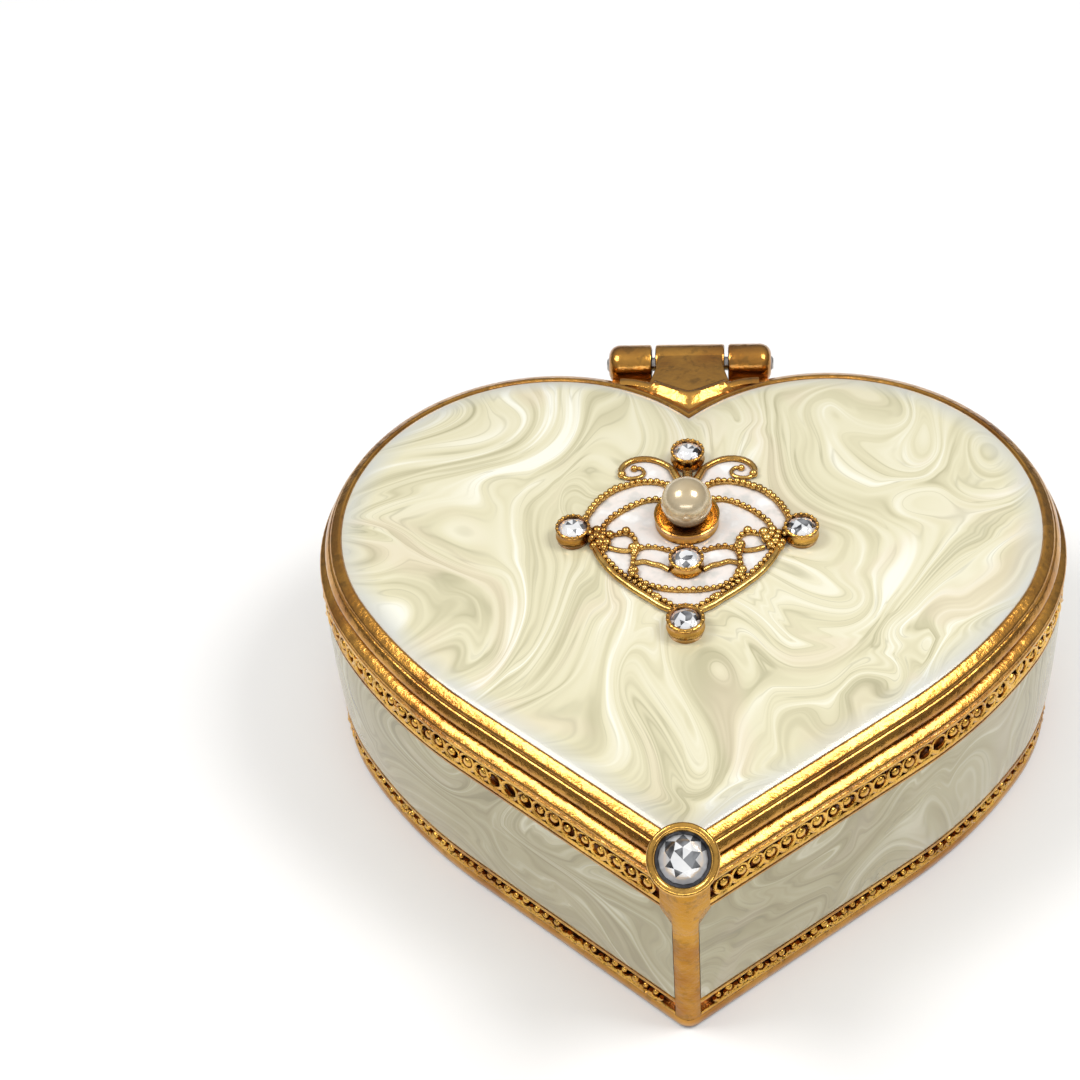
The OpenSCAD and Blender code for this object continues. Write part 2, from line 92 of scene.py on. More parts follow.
class Nodes:
    def __init__(self, name):
        self.mat = bpy.data.materials.new(name)
        self.mat.use_nodes = True
        self.t = self.mat.node_tree
        self.t.nodes.clear()
        self.out = self.new("ShaderNodeOutputMaterial")
        self.p = self.new("ShaderNodeBsdfPrincipled")
        self.link(self.p.outputs[0], self.out.inputs[0])

    def new(self, kind, **props):
        n = self.t.nodes.new(kind)
        for k, v in props.items():
            setattr(n, k, v)
        return n

    def link(self, a, b):
        self.t.links.new(a, b)

    def put(self, n, **values):
        for k, v in values.items():
            n.inputs[k.replace("_", " ")].default_value = v

    def coords(self, turn=(0, 0, 0), shift=(0, 0, 0)):
        c = self.new("ShaderNodeTexCoord")
        m = self.new("ShaderNodeMapping")
        m.inputs["Rotation"].default_value = turn
        m.inputs["Location"].default_value = shift
        self.link(c.outputs["Object"], m.inputs["Vector"])
        return m.outputs[0]

    def noise(self, vec, scale, detail=2.0, rough=0.5, output="Fac"):
        n = self.new("ShaderNodeTexNoise")
        self.put(n, Scale=scale, Detail=detail, Roughness=rough)
        self.link(vec, n.inputs["Vector"])
        return n.outputs[output]

    def ramp(self, fac, stops):
        r = self.new("ShaderNodeValToRGB")
        e = r.color_ramp.elements
        while len(e) < len(stops):
            e.new(0.5)
        for k, (pos, col) in enumerate(stops):
            e[k].position = pos
            e[k].color = (*col, 1.0) if len(col) == 3 else col
        self.link(fac, r.inputs[0])
        return r.outputs[0]

    def math(self, op, a, b=None, clamp=False):
        m = self.new("ShaderNodeMath", operation=op, use_clamp=clamp)
        for k, v in enumerate((a, b)):
            if v is None:
                continue
            if isinstance(v, (int, float)):
                m.inputs[k].default_value = v
            else:
                self.link(v, m.inputs[k])
        return m.outputs[0]

    def mix(self, fac, a, b, blend="MIX"):
        m = self.new("ShaderNodeMix", data_type="RGBA", blend_type=blend)
        for key, v in ((0, fac), (6, a), (7, b)):
            if isinstance(v, (int, float)):
                m.inputs[key].default_value = v
            elif isinstance(v, tuple):
                m.inputs[key].default_value = (*v, 1.0)
            else:
                self.link(v, m.inputs[key])
        return m.outputs[2]

    def vec(self, op, a, b):
        m = self.new("ShaderNodeVectorMath", operation=op)
        for k, v in enumerate((a, b)):
            if isinstance(v, tuple):
                m.inputs[k].default_value = v
            elif isinstance(v, (int, float)):
                m.inputs[3].default_value = v
            else:
                self.link(v, m.inputs[k])
        return m.outputs[0]

    def bump(self, height, strength, distance):
        b = self.new("ShaderNodeBump")
        self.put(b, Strength=strength, Distance=distance)
        self.link(height, b.inputs["Height"])
        self.link(b.outputs[0], self.p.inputs["Normal"])
        return b

    def occlusion(self, distance):
        a = self.new("ShaderNodeAmbientOcclusion", samples=8)
        a.inputs["Distance"].default_value = distance
        return a.outputs["AO"]


def gold(name, tone=(0.52, 0.245, 0.034), crevice_shade=(0.10, 0.02, 0.004), rough=0.2, depth=0.9, grain=0.3,
         relief=0.1, coat=0.42):
    """Gilt plating: blotches, pits and polish marks, painted red-brown shade where it lies deep (an occlusion
    mask), a pale sheen on top.
    """
    m = Nodes(name)
    v = m.coords()
    big = m.noise(v, 210, 3)
    fine = m.noise(v, 1500, 4, 0.6)
    light = tuple(min(1.0, c * f) for c, f in zip(tone, (1.16, 1.22, 1.4)))
    dark = tuple(c * f for c, f in zip(tone, (0.74, 0.62, 0.45)))
    base = m.ramp(big, [(0.34, dark), (0.5, tone), (0.68, light)])
    spots = m.ramp(m.noise(v, 900, 3, 0.6), [(0.36, (1, 1, 1)), (0.46, (0, 0, 0))])
    base = m.mix(m.math("MULTIPLY", spots, 0.5), base, tuple(c * 0.45 for c in tone))
    # painted shade: occluded hollows are mixed towards the dark red-brown crevice colour and made rougher; fine
    # noise breaks the painted shade up
    deep = m.ramp(m.occlusion(depth * MM), [(0.28, (1, 1, 1)), (0.78, (0, 0, 0))])
    shade_breakup = m.ramp(fine, [(0.3, (0.75, 0.75, 0.75)), (0.7, (1, 1, 1))])
    deep = m.mix(1.0, deep, shade_breakup, "MULTIPLY")
    m.link(m.mix(deep, base, crevice_shade), m.p.inputs["Base Color"])
    m.put(m.p, Metallic=1.0, Coat_Weight=coat, Coat_IOR=1.65, Coat_Roughness=0.12)
    r = m.math("ADD", m.math("MULTIPLY", fine, 0.16), rough - 0.05)
    r = m.math("ADD", r, m.math("MULTIPLY", deep, 0.22))
    m.link(r, m.p.inputs["Roughness"])
    hammer = m.noise(v, 620, 2)
    pits = m.noise(v, 2400, 3, 0.6)
    height = m.math("ADD", m.math("MULTIPLY", hammer, 1 - grain), m.math("MULTIPLY", pits, grain))
    b = m.bump(height, 0.75, relief * MM)
    m.link(b.outputs[0], m.p.inputs["Coat Normal"])
    return m.mat


def swirl(name, stops, turn, shift, line, pink, edge=None, rough=0.16):
    """Marbled pearl enamel: combed strokes that whirl round the middle of each cell of a cell pattern."""
    m = Nodes(name)
    v = m.coords(turn, shift)
    half3 = (0.5, 0.5, 0.5)
    w = m.noise(v, 55, 0.0, 0.0, "Color")
    v1 = m.vec("ADD", v, m.vec("SCALE", m.vec("SUBTRACT", w, half3), 0.030))
    axis = m.new("ShaderNodeTexCoord").outputs["Normal"]
    turned = m.new("ShaderNodeVectorRotate", rotation_type="EULER_XYZ")
    m.link(axis, turned.inputs["Vector"])
    turned.inputs["Rotation"].default_value = turn
    for cell, most in ((64, 9.0), (120, 4.5)):
        near = m.new("ShaderNodeTexVoronoi", feature="F1")
        rim = m.new("ShaderNodeTexVoronoi", feature="DISTANCE_TO_EDGE")
        for node in (near, rim):
            m.put(node, Scale=cell, Randomness=0.9)
            m.link(v1, node.inputs["Vector"])
        part = m.new("ShaderNodeSeparateXYZ")
        m.link(near.outputs["Color"], part.inputs[0])
        fades = []
        for source, limits in ((rim, (0.0, 0.14, 0.0, 1.0)), (near, (0.0, 0.70, most, 0.0))):
            ease = m.new("ShaderNodeMapRange", interpolation_type="SMOOTHSTEP")
            m.link(source.outputs["Distance"], ease.inputs[0])
            for k, val in enumerate(limits):
                ease.inputs[k + 1].default_value = val
            fades.append(ease.outputs[0])
        fade = m.math("MULTIPLY", *fades)
        angle = m.math("MULTIPLY", fade, m.math("SUBTRACT", part.outputs[0], 0.35))
        whirl = m.new("ShaderNodeVectorRotate", rotation_type="AXIS_ANGLE")
        m.link(v1, whirl.inputs["Vector"])
        m.link(near.outputs["Position"], whirl.inputs["Center"])
        m.link(turned.outputs[0], whirl.inputs["Axis"])
        m.link(angle, whirl.inputs["Angle"])
        v1 = whirl.outputs[0]
    w = m.noise(v1, 150, 0.0, 0.0, "Color")
    v2 = m.vec("ADD", v1, m.vec("SCALE", m.vec("SUBTRACT", w, half3), 0.005))
    # strokes: fast across one axis of the whirled field, slow along the others
    wide = m.noise(m.vec("MULTIPLY", v2, (1.0, 0.13, 0.13)), 300, 1.0, 0.5)
    slim = m.noise(m.vec("MULTIPLY", v2, (1.0, 0.08, 0.08)), 820, 1.0, 0.5)
    hair = m.noise(m.vec("MULTIPLY", v2, (1.0, 0.06, 0.06)), 1900, 1.0, 0.5)
    finer = m.math("ADD", m.math("MULTIPLY", slim, 0.42), m.math("MULTIPLY", hair, 0.22))
    tone = m.math("ADD", m.math("MULTIPLY", wide, 0.36), finer)
    colour = m.ramp(tone, stops)
    lines = ((0.38, 0.0), (0.41, 1.0), (0.44, 0.0), (0.60, 0.0), (0.62, 0.8), (0.64, 0.0))
    thin = m.ramp(slim, [(at, (share,) * 3) for at, share in lines])
    where = m.ramp(m.noise(v, 130, 1), [(0.40, (0.1, 0.1, 0.1)), (0.60, (1, 1, 1))])
    colour = m.mix(m.math("MULTIPLY", m.math("MULTIPLY", thin, where), 0.42), colour, line)
    blush = m.ramp(m.noise(v2, 130, 1), [(0.56, (0, 0, 0)), (0.68, (1, 1, 1))])
    colour = m.mix(m.math("MULTIPLY", blush, 0.25), colour, pink)
    if edge:
        z0, z1, pale = edge
        split = m.new("ShaderNodeSeparateXYZ")
        m.link(m.coords(), split.inputs[0])
        near = m.new("ShaderNodeMapRange")
        m.link(split.outputs[2], near.inputs[0])
        for k, val in enumerate((z0 * MM, z1 * MM, 0.9, 0.0)):
            near.inputs[k + 1].default_value = val
        ragged = m.math("ADD", m.math("MULTIPLY", wide, 1.2), 0.3)
        wisp = m.math("MULTIPLY", near.outputs[0], ragged, clamp=True)
        colour = m.mix(wisp, colour, pale)
    m.link(colour, m.p.inputs["Base Color"])
    m.put(m.p, Coat_Weight=0.5, Coat_Roughness=0.1, Specular_IOR_Level=0.35)
    m.link(m.math("ADD", m.math("MULTIPLY", wide, 0.16), rough), m.p.inputs["Roughness"])
    wave = m.noise(m.coords(), 150, 1)
    m.bump(wave, 0.35, 0.25 * MM)
    return m.mat


GOLD = gold("gilt_smooth", relief=0.15)
# copy of the gilt with almost no coat for the tip's rib and yoke; its darker tone is painted shade
GOLD_RIB_SHADED = gold("gilt_rib_shaded", tone=(0.50, 0.24, 0.026), rough=0.22, relief=0.25, coat=0.04)
GOLD_TRIM = gold("gilt_trim", tone=(0.67, 0.36, 0.06), crevice_shade=(0.13, 0.018, 0.005), rough=0.12, depth=0.6)
GOLD_STRIP = gold(
    "gilt_strip", tone=(0.70, 0.38, 0.05), crevice_shade=(0.15, 0.016, 0.006), rough=0.12, depth=0.5, grain=0.55,
    relief=0.22,
)
GOLD_WIRE = gold("gilt_wire", tone=(0.68, 0.40, 0.09), crevice_shade=(0.07, 0.02, 0.006), rough=0.18, depth=0.5)
# darker gold copy for the gallery strips' channel floors: painted shade in the recess
GOLD_SOCKET_SHADE = gold("gilt_socket_painted_shade", tone=(0.40, 0.13, 0.025), crevice_shade=(0.06, 0.012, 0.004), rough=0.28, depth=0.4)
TOP = swirl(
    "top_enamel",
    [
        (0.35, (0.50, 0.465, 0.30)), (0.42, (0.62, 0.58, 0.39)), (0.49, (0.705, 0.665, 0.465)),
        (0.56, (0.76, 0.725, 0.545)), (0.63, (0.87, 0.86, 0.745)),
    ],
    (0.0, 0.0, 0.5), (0.011, 0.004, 0.0), (0.32, 0.30, 0.18), (0.74, 0.60, 0.47),
    edge=(LID1 - 0.1, LID1 + 0.24, (0.58, 0.59, 0.55)),
)
SIDE = swirl(
    "side_enamel",
    [
        (0.35, (0.28, 0.242, 0.13)), (0.43, (0.355, 0.312, 0.178)), (0.49, (0.40, 0.355, 0.21)),
        (0.56, (0.455, 0.413, 0.258)), (0.65, (0.60, 0.57, 0.42)),
    ],
    (1.1, 0.4, 0.9), (0.02, -0.01, 0.004), (0.22, 0.20, 0.12), (0.52, 0.44, 0.33),
)
INNER = swirl(
    "inner_enamel",
    [
        (0.34, (0.60, 0.52, 0.33)), (0.42, (0.68, 0.60, 0.39)), (0.50, (0.73, 0.66, 0.45)),
        (0.57, (0.78, 0.73, 0.53)), (0.65, (0.84, 0.82, 0.68)),
    ],
    (0.2, 0.1, 1.9), (-0.01, 0.02, 0.01), (0.52, 0.45, 0.27), (0.76, 0.62, 0.48),
)


def white_enamel():
    m = Nodes("ornament_enamel")
    v = m.coords()
    c = m.ramp(m.noise(v, 480, 3), [
        (0.36, (0.62, 0.61, 0.58)), (0.47, (0.80, 0.74, 0.70)), (0.56, (0.76, 0.74, 0.72)),
        (0.68, (0.92, 0.91, 0.90)),
    ])
    # painted shade: darker and browner where the filigree wires crowd the cells, from an occlusion mask
    occlusion_shade = m.ramp(m.occlusion(0.5 * MM), [(0.2, (0.45, 0.32, 0.22)), (0.8, (1, 1, 1))])
    m.link(m.mix(1.0, c, occlusion_shade, "MULTIPLY"), m.p.inputs["Base Color"])
    m.put(m.p, Roughness=0.3, Coat_Weight=0.8, Coat_Roughness=0.08)
    m.bump(m.noise(v, 900, 2), 0.4, 0.05 * MM)
    return m.mat


def pearl_lustre():
    m = Nodes("pearl_lustre")
    v = m.coords()
    c = m.ramp(m.noise(v, 380, 3), [
        (0.3, (0.55, 0.43, 0.25)), (0.5, (0.66, 0.54, 0.35)), (0.7, (0.77, 0.67, 0.48)),
    ])
    m.link(c, m.p.inputs["Base Color"])
    m.put(m.p, Roughness=0.22, Coat_Weight=0.9, Coat_Roughness=0.06, Metallic=0.45)
    m.bump(m.noise(v, 1400, 2), 0.15, 0.03 * MM)
    return m.mat


def facet(name, dark, light, metallic=0.6):
    """A cut stone's facets: clear gloss over a mirror colour, bright in one copy and dark in the other; the two
    copies paint the stone's bright and dark reflections.
    """
    m = Nodes(name)
    v = m.coords()
    c = m.ramp(m.noise(v, 900, 2), [(0.35, dark), (0.6, light)])
    m.link(c, m.p.inputs["Base Color"])
    m.put(m.p, Metallic=metallic, Coat_Weight=1.0, Coat_Roughness=0.02)
    m.link(m.math("MULTIPLY", m.noise(v, 1500, 2), 0.16), m.p.inputs["Roughness"])
    m.bump(m.noise(v, 2200, 2), 0.5, 0.08 * MM)
    return m.mat


def metal(name, a, b, rough, scale=600):
    m = Nodes(name)
    v = m.coords()
    n = m.noise(v, scale, 4, 0.6)
    m.link(m.ramp(n, [(0.3, a), (0.7, b)]), m.p.inputs["Base Color"])
    m.put(m.p, Metallic=1.0)
    m.link(m.math("ADD", m.math("MULTIPLY", n, 0.15), rough), m.p.inputs["Roughness"])
    m.bump(n, 0.2, 0.02 * MM)
    return m.mat


WHITE = white_enamel()
PEARL = pearl_lustre()
# bright and dark facet colours: painted reflections of a cut stone's sparkle
FACET_BRIGHT_REFLECTION = facet("cut_crystal", (0.88, 0.90, 0.93), (1.0, 1.0, 1.0), 0.45)
FACET_DARK_REFLECTION = facet("cut_crystal_painted_dark", (0.03, 0.03, 0.035), (0.34, 0.35, 0.37))
MAGNET = metal("nickel_plate", (0.62, 0.62, 0.63), (0.80, 0.80, 0.80), 0.1)
STEEL = metal("pin_steel", (0.36, 0.35, 0.34), (0.58, 0.57, 0.55), 0.25)
# near-black metal for the ring round the thumb stone: painted shade
DARK_EDGE_SHADE = metal("painted_dark_rim", (0.03, 0.03, 0.035), (0.10, 0.10, 0.11), 0.3)

# ---- mesh helpers -----------------------------------------------------------------------


def add(name, verts, faces, mats, body, nodes=(), crease=38.0, face_mats=None):
    me = bpy.data.meshes.new(name)
    me.from_pydata([(x * MM, y * MM, z * MM) for x, y, z in verts], [], faces)
    me.validate()
    bm = bmesh.new()
    bm.from_mesh(me)
    if face_mats:
        bm.faces.ensure_lookup_table()
        for f, k in zip(bm.faces, face_mats):
            f.material_index = k
    bmesh.ops.remove_doubles(bm, verts=bm.verts, dist=0.0004 * MM)
    bmesh.ops.recalc_face_normals(bm, faces=bm.faces)
    for f in bm.faces:
        f.smooth = True
    for e in bm.edges:
        if len(e.link_faces) == 2 and e.calc_face_angle(0) > rad(crease):
            e.smooth = False
    bm.to_mesh(me)
    bm.free()
    for m in mats if isinstance(mats, (list, tuple)) else [mats]:
        me.materials.append(m)
    o = bpy.data.objects.new(name, me)
    bpy.context.scene.collection.objects.link(o)
    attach(o, body)
    if nodes:
        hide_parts(*nodes)
    return o


def quads(rows, n):
    """Faces between successive loops of n points."""
    faces = []
    for a in range(0, (rows - 1) * n, n):
        for i in range(n):
            j = (i + 1) % n
            faces.append((a + i, a + j, a + n + j, a + n + i))
    return faces


def ends(rows, n):
    """Faces that close the first and the last of rows loops of n points."""
    return [tuple(range(n - 1, -1, -1)), tuple((rows - 1) * n + i for i in range(n))]


def fan(start, n, apex):
    """Triangles from a loop of n points to one point."""
    return [(start + i, start + (i + 1) % n, apex) for i in range(n)]


class Shape:
    """Collects vertices and faces of several closed pieces that become one mesh."""

    def __init__(self):
        self.v, self.f, self.k = [], [], []

    def put(self, verts, faces, k=0, where=None, more=()):
        """k: material of faces; more: faces in the next material."""
        n = len(self.v)
        self.v += [tuple(where @ Vector(p)) for p in verts] if where else [tuple(p) for p in verts]
        self.f += [tuple(n + i for i in f) for f in faces + list(more)]
        self.k += [k] * len(faces) + [k + 1] * len(more)

    def lathe(self, profile, steps=32, k=0, where=None, close=False):
        """profile: (r, z) from bottom to top."""
        verts, faces = [], []
        rings = []
        for r, z in profile:
            if r < 1e-6:
                rings.append([len(verts)])
                verts.append((0, 0, z))
            else:
                rings.append(list(range(len(verts), len(verts) + steps)))
                verts += [(r * cos(2 * pi * i / steps), r * sin(2 * pi * i / steps), z) for i in range(steps)]
        pairs = list(zip(rings, rings[1:]))
        if close:
            pairs.append((rings[-1], rings[0]))
        for a, b in pairs:
            for i in range(steps):
                j = (i + 1) % steps
                if len(a) == 1 and len(b) == 1:
                    continue
                if len(a) == 1:
                    faces.append((a[0], b[j], b[i]))
                elif len(b) == 1:
                    faces.append((a[i], a[j], b[0]))
                else:
                    faces.append((a[i], a[j], b[j], b[i]))
        self.put(verts, faces, k, where)

    def ball(self, c, r, seg=9, rings=6):
        verts, faces = [(0, 0, -1)], []
        for a in range(1, rings):
            t = -pi / 2 + pi * a / rings
            for i in range(seg):
                b = 2 * pi * i / seg
                verts.append((cos(t) * cos(b), cos(t) * sin(b), sin(t)))
        verts.append((0, 0, 1))
        top = len(verts) - 1
        for i in range(seg):
            j = (i + 1) % seg
            faces.append((0, 1 + j, 1 + i))
            for a in range(rings - 2):
                p, q = 1 + a * seg, 1 + (a + 1) * seg
                faces.append((p + i, p + j, q + j, q + i))
            faces.append((top, 1 + (rings - 2) * seg + i, 1 + (rings - 2) * seg + j))
        self.put(verts, faces, 0, Matrix.Translation(Vector(c)) @ Matrix.Scale(r, 4))

    def tube(self, path, radius, seg=8):
        """Round wire along 3-D points, closed at both ends; radius may be a list."""
        n = len(path)
        pts = [Vector(p) for p in path]
        verts = []
        up = Vector((0, 0, 1))
        for i, p in enumerate(pts):
            t = (pts[min(i + 1, n - 1)] - pts[max(i - 1, 0)]).normalized()
            side = t.cross(up)
            side = side.normalized() if side.length > 1e-5 else Vector((1, 0, 0))
            nor = side.cross(t)
            r = radius[i] if isinstance(radius, (list, tuple)) else radius
            for s in range(seg):
                a = 2 * pi * s / seg
                verts.append(tuple(p + side * (r * cos(a)) + nor * (r * sin(a))))
        self.put(verts, quads(n, seg) + ends(n, seg))

    def build(self, name, mats, body, nodes=(), crease=38.0):
        return add(name, self.v, self.f, mats, body, nodes, crease, self.k)


# ---- the heart outline ------------------------------------------------------------------

A, R, R1 = 11.5, 18.5, 44.0  # the lobe centres' x, the lobes' radius, the cheeks' radius
P1, P2 = rad(33.5), rad(52.0)  # where lobe meets cheek, and cheek meets flank
C2 = (A - (R1 - R) * cos(P1), (R1 - R) * sin(P1))
REACH = C2[0] * cos(P2) - C2[1] * sin(P2) + R1
RIB = 0.95  # half width of the plain ribs at the cleft and the tip
STEP = 0.99  # where panels and strips begin beside them


def half(d):
    """Right half of the outline inset by d, from the cleft to the tip; the same count for every d."""
    r = R - d
    a0 = math.acos(-A / r)
    a1, a2 = math.acos((RIB - A) / r), math.acos((STEP - A) / r)
    pts = [(A + r * cos(t), r * sin(t)) for t in [a0, a1] + [a2 + (-P1 - a2) * i / 64 for i in range(65)]]
    r1, angles = R1 - d, [-P1 - (P2 - P1) * i / 12 for i in range(1, 13)]
    pts += [(C2[0] + r1 * cos(t), C2[1] + r1 * sin(t)) for t in angles]
    tip = min(1.4, max(1.4 - d, 0.3))
    low = tip / sin(P2) - (REACH - d) / sin(P2)
    nose = [(tip * cos(t), low + tip * sin(t)) for t in [-P2 - (pi / 2 - P2) * i / 6 for i in range(7)]]
    foot = pts[-1]

    def flank(x):
        s = (foot[0] - x) / (foot[0] - nose[0][0])
        return (foot[0] + (nose[0][0] - foot[0]) * s, foot[1] + (nose[0][1] - foot[1]) * s)

    pts += [flank(foot[0] + (STEP - foot[0]) * i / 20) for i in range(1, 21)]
    pts.append(flank(RIB))
    return pts + nose


HALVES = {}


def inset_point(i, d):
    """Point i of the right half of the outline, inset by d."""
    key = round(d, 4)
    if key not in HALVES:
        HALVES[key] = half(key)
    return HALVES[key][i]


def ring(d):
    h = half(d)
    return [(x, y + LY) for x, y in h] + [(-x, y + LY) for x, y in h[-2:0:-1]]


ON_SIDE = [abs(x) > (RIB + STEP) / 2 for x, y in ring(0.0)]
COUNT = len(ON_SIDE)


def loft(name, profile, mats, body, nodes, crease, foot=True, extra=None):
    """Heart-shaped rings, closed at the last one, and with foot at the first one too.

    profile: (inset, z) or (inset, z, inset on the ribs).
    """
    verts = []
    for entry in profile:
        d, z = entry[0], entry[1]
        side = ring(d)
        rib = ring(entry[2]) if len(entry) > 2 else side
        verts += [(*(side if on else rib)[i], z) for i, on in enumerate(ON_SIDE)]
    n = len(profile)
    shape = Shape()
    shape.put(verts, quads(n, COUNT) + ends(n, COUNT)[0 if foot else 1:])
    if extra:
        extra(shape)
    return shape.build(name, mats, body, nodes, crease)


H0 = half(0.0)
SIDE_IDX = [i for i, (x, y) in enumerate(H0) if x > (RIB + STEP) / 2]


def panel(shape, side, profile, k=0):
    """Closed band along one side between the ribs.

    profile: closed loop of (inset, z), or a function of x that gives it.
    """
    at = profile if callable(profile) else (lambda x: profile)
    verts = []
    for c in SIDE_IDX:
        for d, z in at(H0[c][0]):
            x, y = inset_point(c, d)
            verts.append((side * x, y + LY, z))
    cols, n = len(SIDE_IDX), len(at(STEP))
    shape.put(verts, quads(cols, n) + ends(cols, n), k)


# wall point and outward direction at arc length s, right side
LOBE_TURN = math.acos(-A / R) + P1
L1, L2 = R * LOBE_TURN, R1 * (P2 - P1)
FOOT = (C2[0] + R1 * cos(P2), C2[1] - R1 * sin(P2))
L3 = FOOT[0] / sin(P2)


def wall(s):
    if s < L1:
        a = math.acos(-A / R) - s / R
        return (A + R * cos(a), R * sin(a) + LY), (cos(a), sin(a))
    if s < L1 + L2:
        a = -P1 - (s - L1) / R1
        return (C2[0] + R1 * cos(a), C2[1] + R1 * sin(a) + LY), (cos(a), sin(a))
    u = s - L1 - L2
    return (FOOT[0] - u * sin(P2), FOOT[1] - u * cos(P2) + LY), (cos(P2), -sin(P2))


# ---- base -------------------------------------------------------------------------------

BODY, LID = "base", "lid"
AXIS = Matrix.Translation((0, HY, HZ)) @ Matrix.Rotation(pi / 2, 4, "Y")
RECESS = 0.68  # depth of the seats of panels and strips
YOKE = 2.0  # half width of the gold yoke at the tip
YOKE_TOP = 0.2  # and its top edge above the upper strip


def base_extra(s):
    # ring round the base magnet, with a rounded lip
    at = Matrix.Translation((0, CUP, 0))
    top = LEDGE
    s.lathe([
        (3.92, top - 3.2), (3.92, top - 0.25), (4.02, top - 0.07), (4.2, top - 0.01), (4.4, top - 0.03),
        (4.55, top - 0.14), (4.64, top - 0.32), (4.65, FLOOR),
    ], 48, 0, at, close=True)
    # gold corner behind the ring, up to the ledge
    corner = [(-3.6, CUP - 2.9), (3.6, CUP - 2.9), (0, CUP - 7.0)]
    v = [(x, y, z) for z in (FLOOR, top - 0.15) for x, y in corner]
    s.put(v, [(2, 1, 0), (3, 4, 5), (0, 1, 4, 3), (1, 2, 5, 4), (2, 0, 3, 5)])
    # the tip's rib spreads into a yoke that closes the strips' ends under the thumb piece
    cols = [i for i, (x, y) in enumerate(H0) if y < -20 and x < YOKE + 0.05]
    n = 14
    for side in (-1, 1):
        pts = []
        for c in cols:
            x = H0[c][0]
            drop = 2.2 if x < RIB else 1.25 * max(0.0, 1 - (x - RIB) / (YOKE - RIB)) ** 2.0 + 0.03
            z0, z1 = PAN1 - drop, UP1 + YOKE_TOP
            section = [(0.4, z0 - 0.02)]
            for k in range(n + 1):
                z = z0 + (z1 - z0) * k / n
                section.append((-0.09 * eased(min(1.0, z - z0)) * (1 if k < n - 1 else 0.4), z))
            for d, z in section + [(0.4, z1)]:
                x, y = inset_point(c, d)
                pts.append((side * x, y + LY, z))
        s.put(pts, quads(len(cols), n + 3) + ends(len(cols), n + 3))
    # outer knuckles with rounded ends, and the arms that carry them
    for side in (-1, 1):
        x0, x1 = 3.3, 7.0
        prof = [
            (0.62, x0), (BAR_R - 0.2, x0), (BAR_R - 0.05, x0 + 0.07), (BAR_R, x0 + 0.22), (BAR_R, x1 - 0.95),
            (BAR_R - 0.05, x1 - 0.66), (BAR_R - 0.18, x1 - 0.38), (BAR_R - 0.4, x1 - 0.15), (BAR_R - 0.72, x1),
            (0.62, x1),
        ]
        m = Matrix.Translation((0, HY, HZ)) @ Matrix.Rotation(pi / 2 * side, 4, "Y")
        s.lathe(prof, 36, 0, m, close=True)
        za, zb = UP1 + 0.06, RIM - 0.06
        y0, y1 = LY + R - 2.5, HY - 0.2
        corners = ((y0, za), (y1, za), (y1, zb), (y0, zb))
        v = [(side * x, y, z) for x in (x0 + 0.05, x1 - 0.3) for y, z in corners]
        s.put(v, [(0, 1, 2, 3), (7, 6, 5, 4), (0, 4, 5, 1), (1, 5, 6, 2), (2, 6, 7, 3), (3, 7, 4, 0)])


rim = [
    (2.4, 0.4), (2.4, 0.1), (2.3, 0.0), (0.6, 0.0), (0.28, 0.07), (0.08, 0.24), (0.0, 0.5), (0.0, 0.85),
    (0.05, 1.08), (0.16, 1.22),
    (0.2, LOW0 - 0.02, 0.05), (RECESS, LOW0, 0.02), (RECESS, LOW1, 0.0), (0.06, LOW1 + 0.02, 0.0),
    (0.0, LOW1 + 0.09), (0.0, PAN0 - 0.09), (0.05, PAN0 - 0.02, 0.0),
    (RECESS, PAN0, 0.0), (RECESS, PAN1, 0.0), (0.05, PAN1 + 0.02, 0.0), (0.0, PAN1 + 0.08), (0.0, UP0 - 0.06),
    (0.04, UP0 - 0.01, 0.0),
    (RECESS, UP0, 0.0), (RECESS, UP1, 0.0), (0.04, UP1 + 0.01, 0.0), (0.0, UP1 + 0.07), (0.02, UP1 + 0.14),
    (0.15, UP1 + 0.22), (0.16, UP1 + 0.28),
    (0.03, UP1 + 0.38), (0.0, UP1 + 0.5), (0.0, RIM - 0.5), (0.05, RIM - 0.37), (0.12, RIM - 0.31),
    (0.5, RIM - 0.12), (0.7, RIM - 0.04), (0.95, RIM), (1.6, RIM), (1.92, RIM - 0.03),
    (2.1, RIM - 0.14), (2.2, RIM - 0.36), (2.2, LEDGE + 0.1), (2.26, LEDGE + 0.01), (2.62, LEDGE),
    (2.7, LEDGE - 0.08), (2.7, FLOOR),
]
casting = loft(
    "base_casting", rim, [GOLD, GOLD_RIB_SHADED], BODY, ["base_shell"], 32.0, extra=base_extra,
)
# the plain rib and yoke at the tip have no pale sheen, and a slightly darker gold that is painted shade
for face in casting.data.polygons:
    place = face.center / MM
    if abs(place.x) < YOKE and place.y < LY - 24.0 and LOW0 < place.z < UP1 + YOKE_TOP + 0.01:
        face.material_index = 1


def side_profile(swell, steps=12):
    """Closed section of a side panel: a cushion between its rims."""
    prof = [(RECESS - 0.04, PAN0 + 0.005)]
    for i in range(steps + 1):
        t = i / steps
        bulge = (1.0 - abs(2 * t - 1) ** 6) * (0.6 + 0.4 * sin(pi * t))
        prof.append((0.07 - 0.20 * swell * bulge, PAN0 + 0.01 + (PAN1 - PAN0 - 0.02) * t))
    return prof + [(RECESS - 0.04, PAN1 - 0.005)]


for side, node in ((-1, "left_side_enamel"), (1, "right_side_enamel")):
    s = Shape()
    panel(s, side, lambda x: side_profile(min(1.0, 0.15 + (x - STEP) / 1.6)))
    s.build(node + "_glaze", SIDE, BODY, [node], 60.0)


def hashed(i, j=0):
    """Repeatable scatter in 0..1."""
    return (math.sin(i * 12.9898 + j * 78.233) * 43758.5453) % 1.0


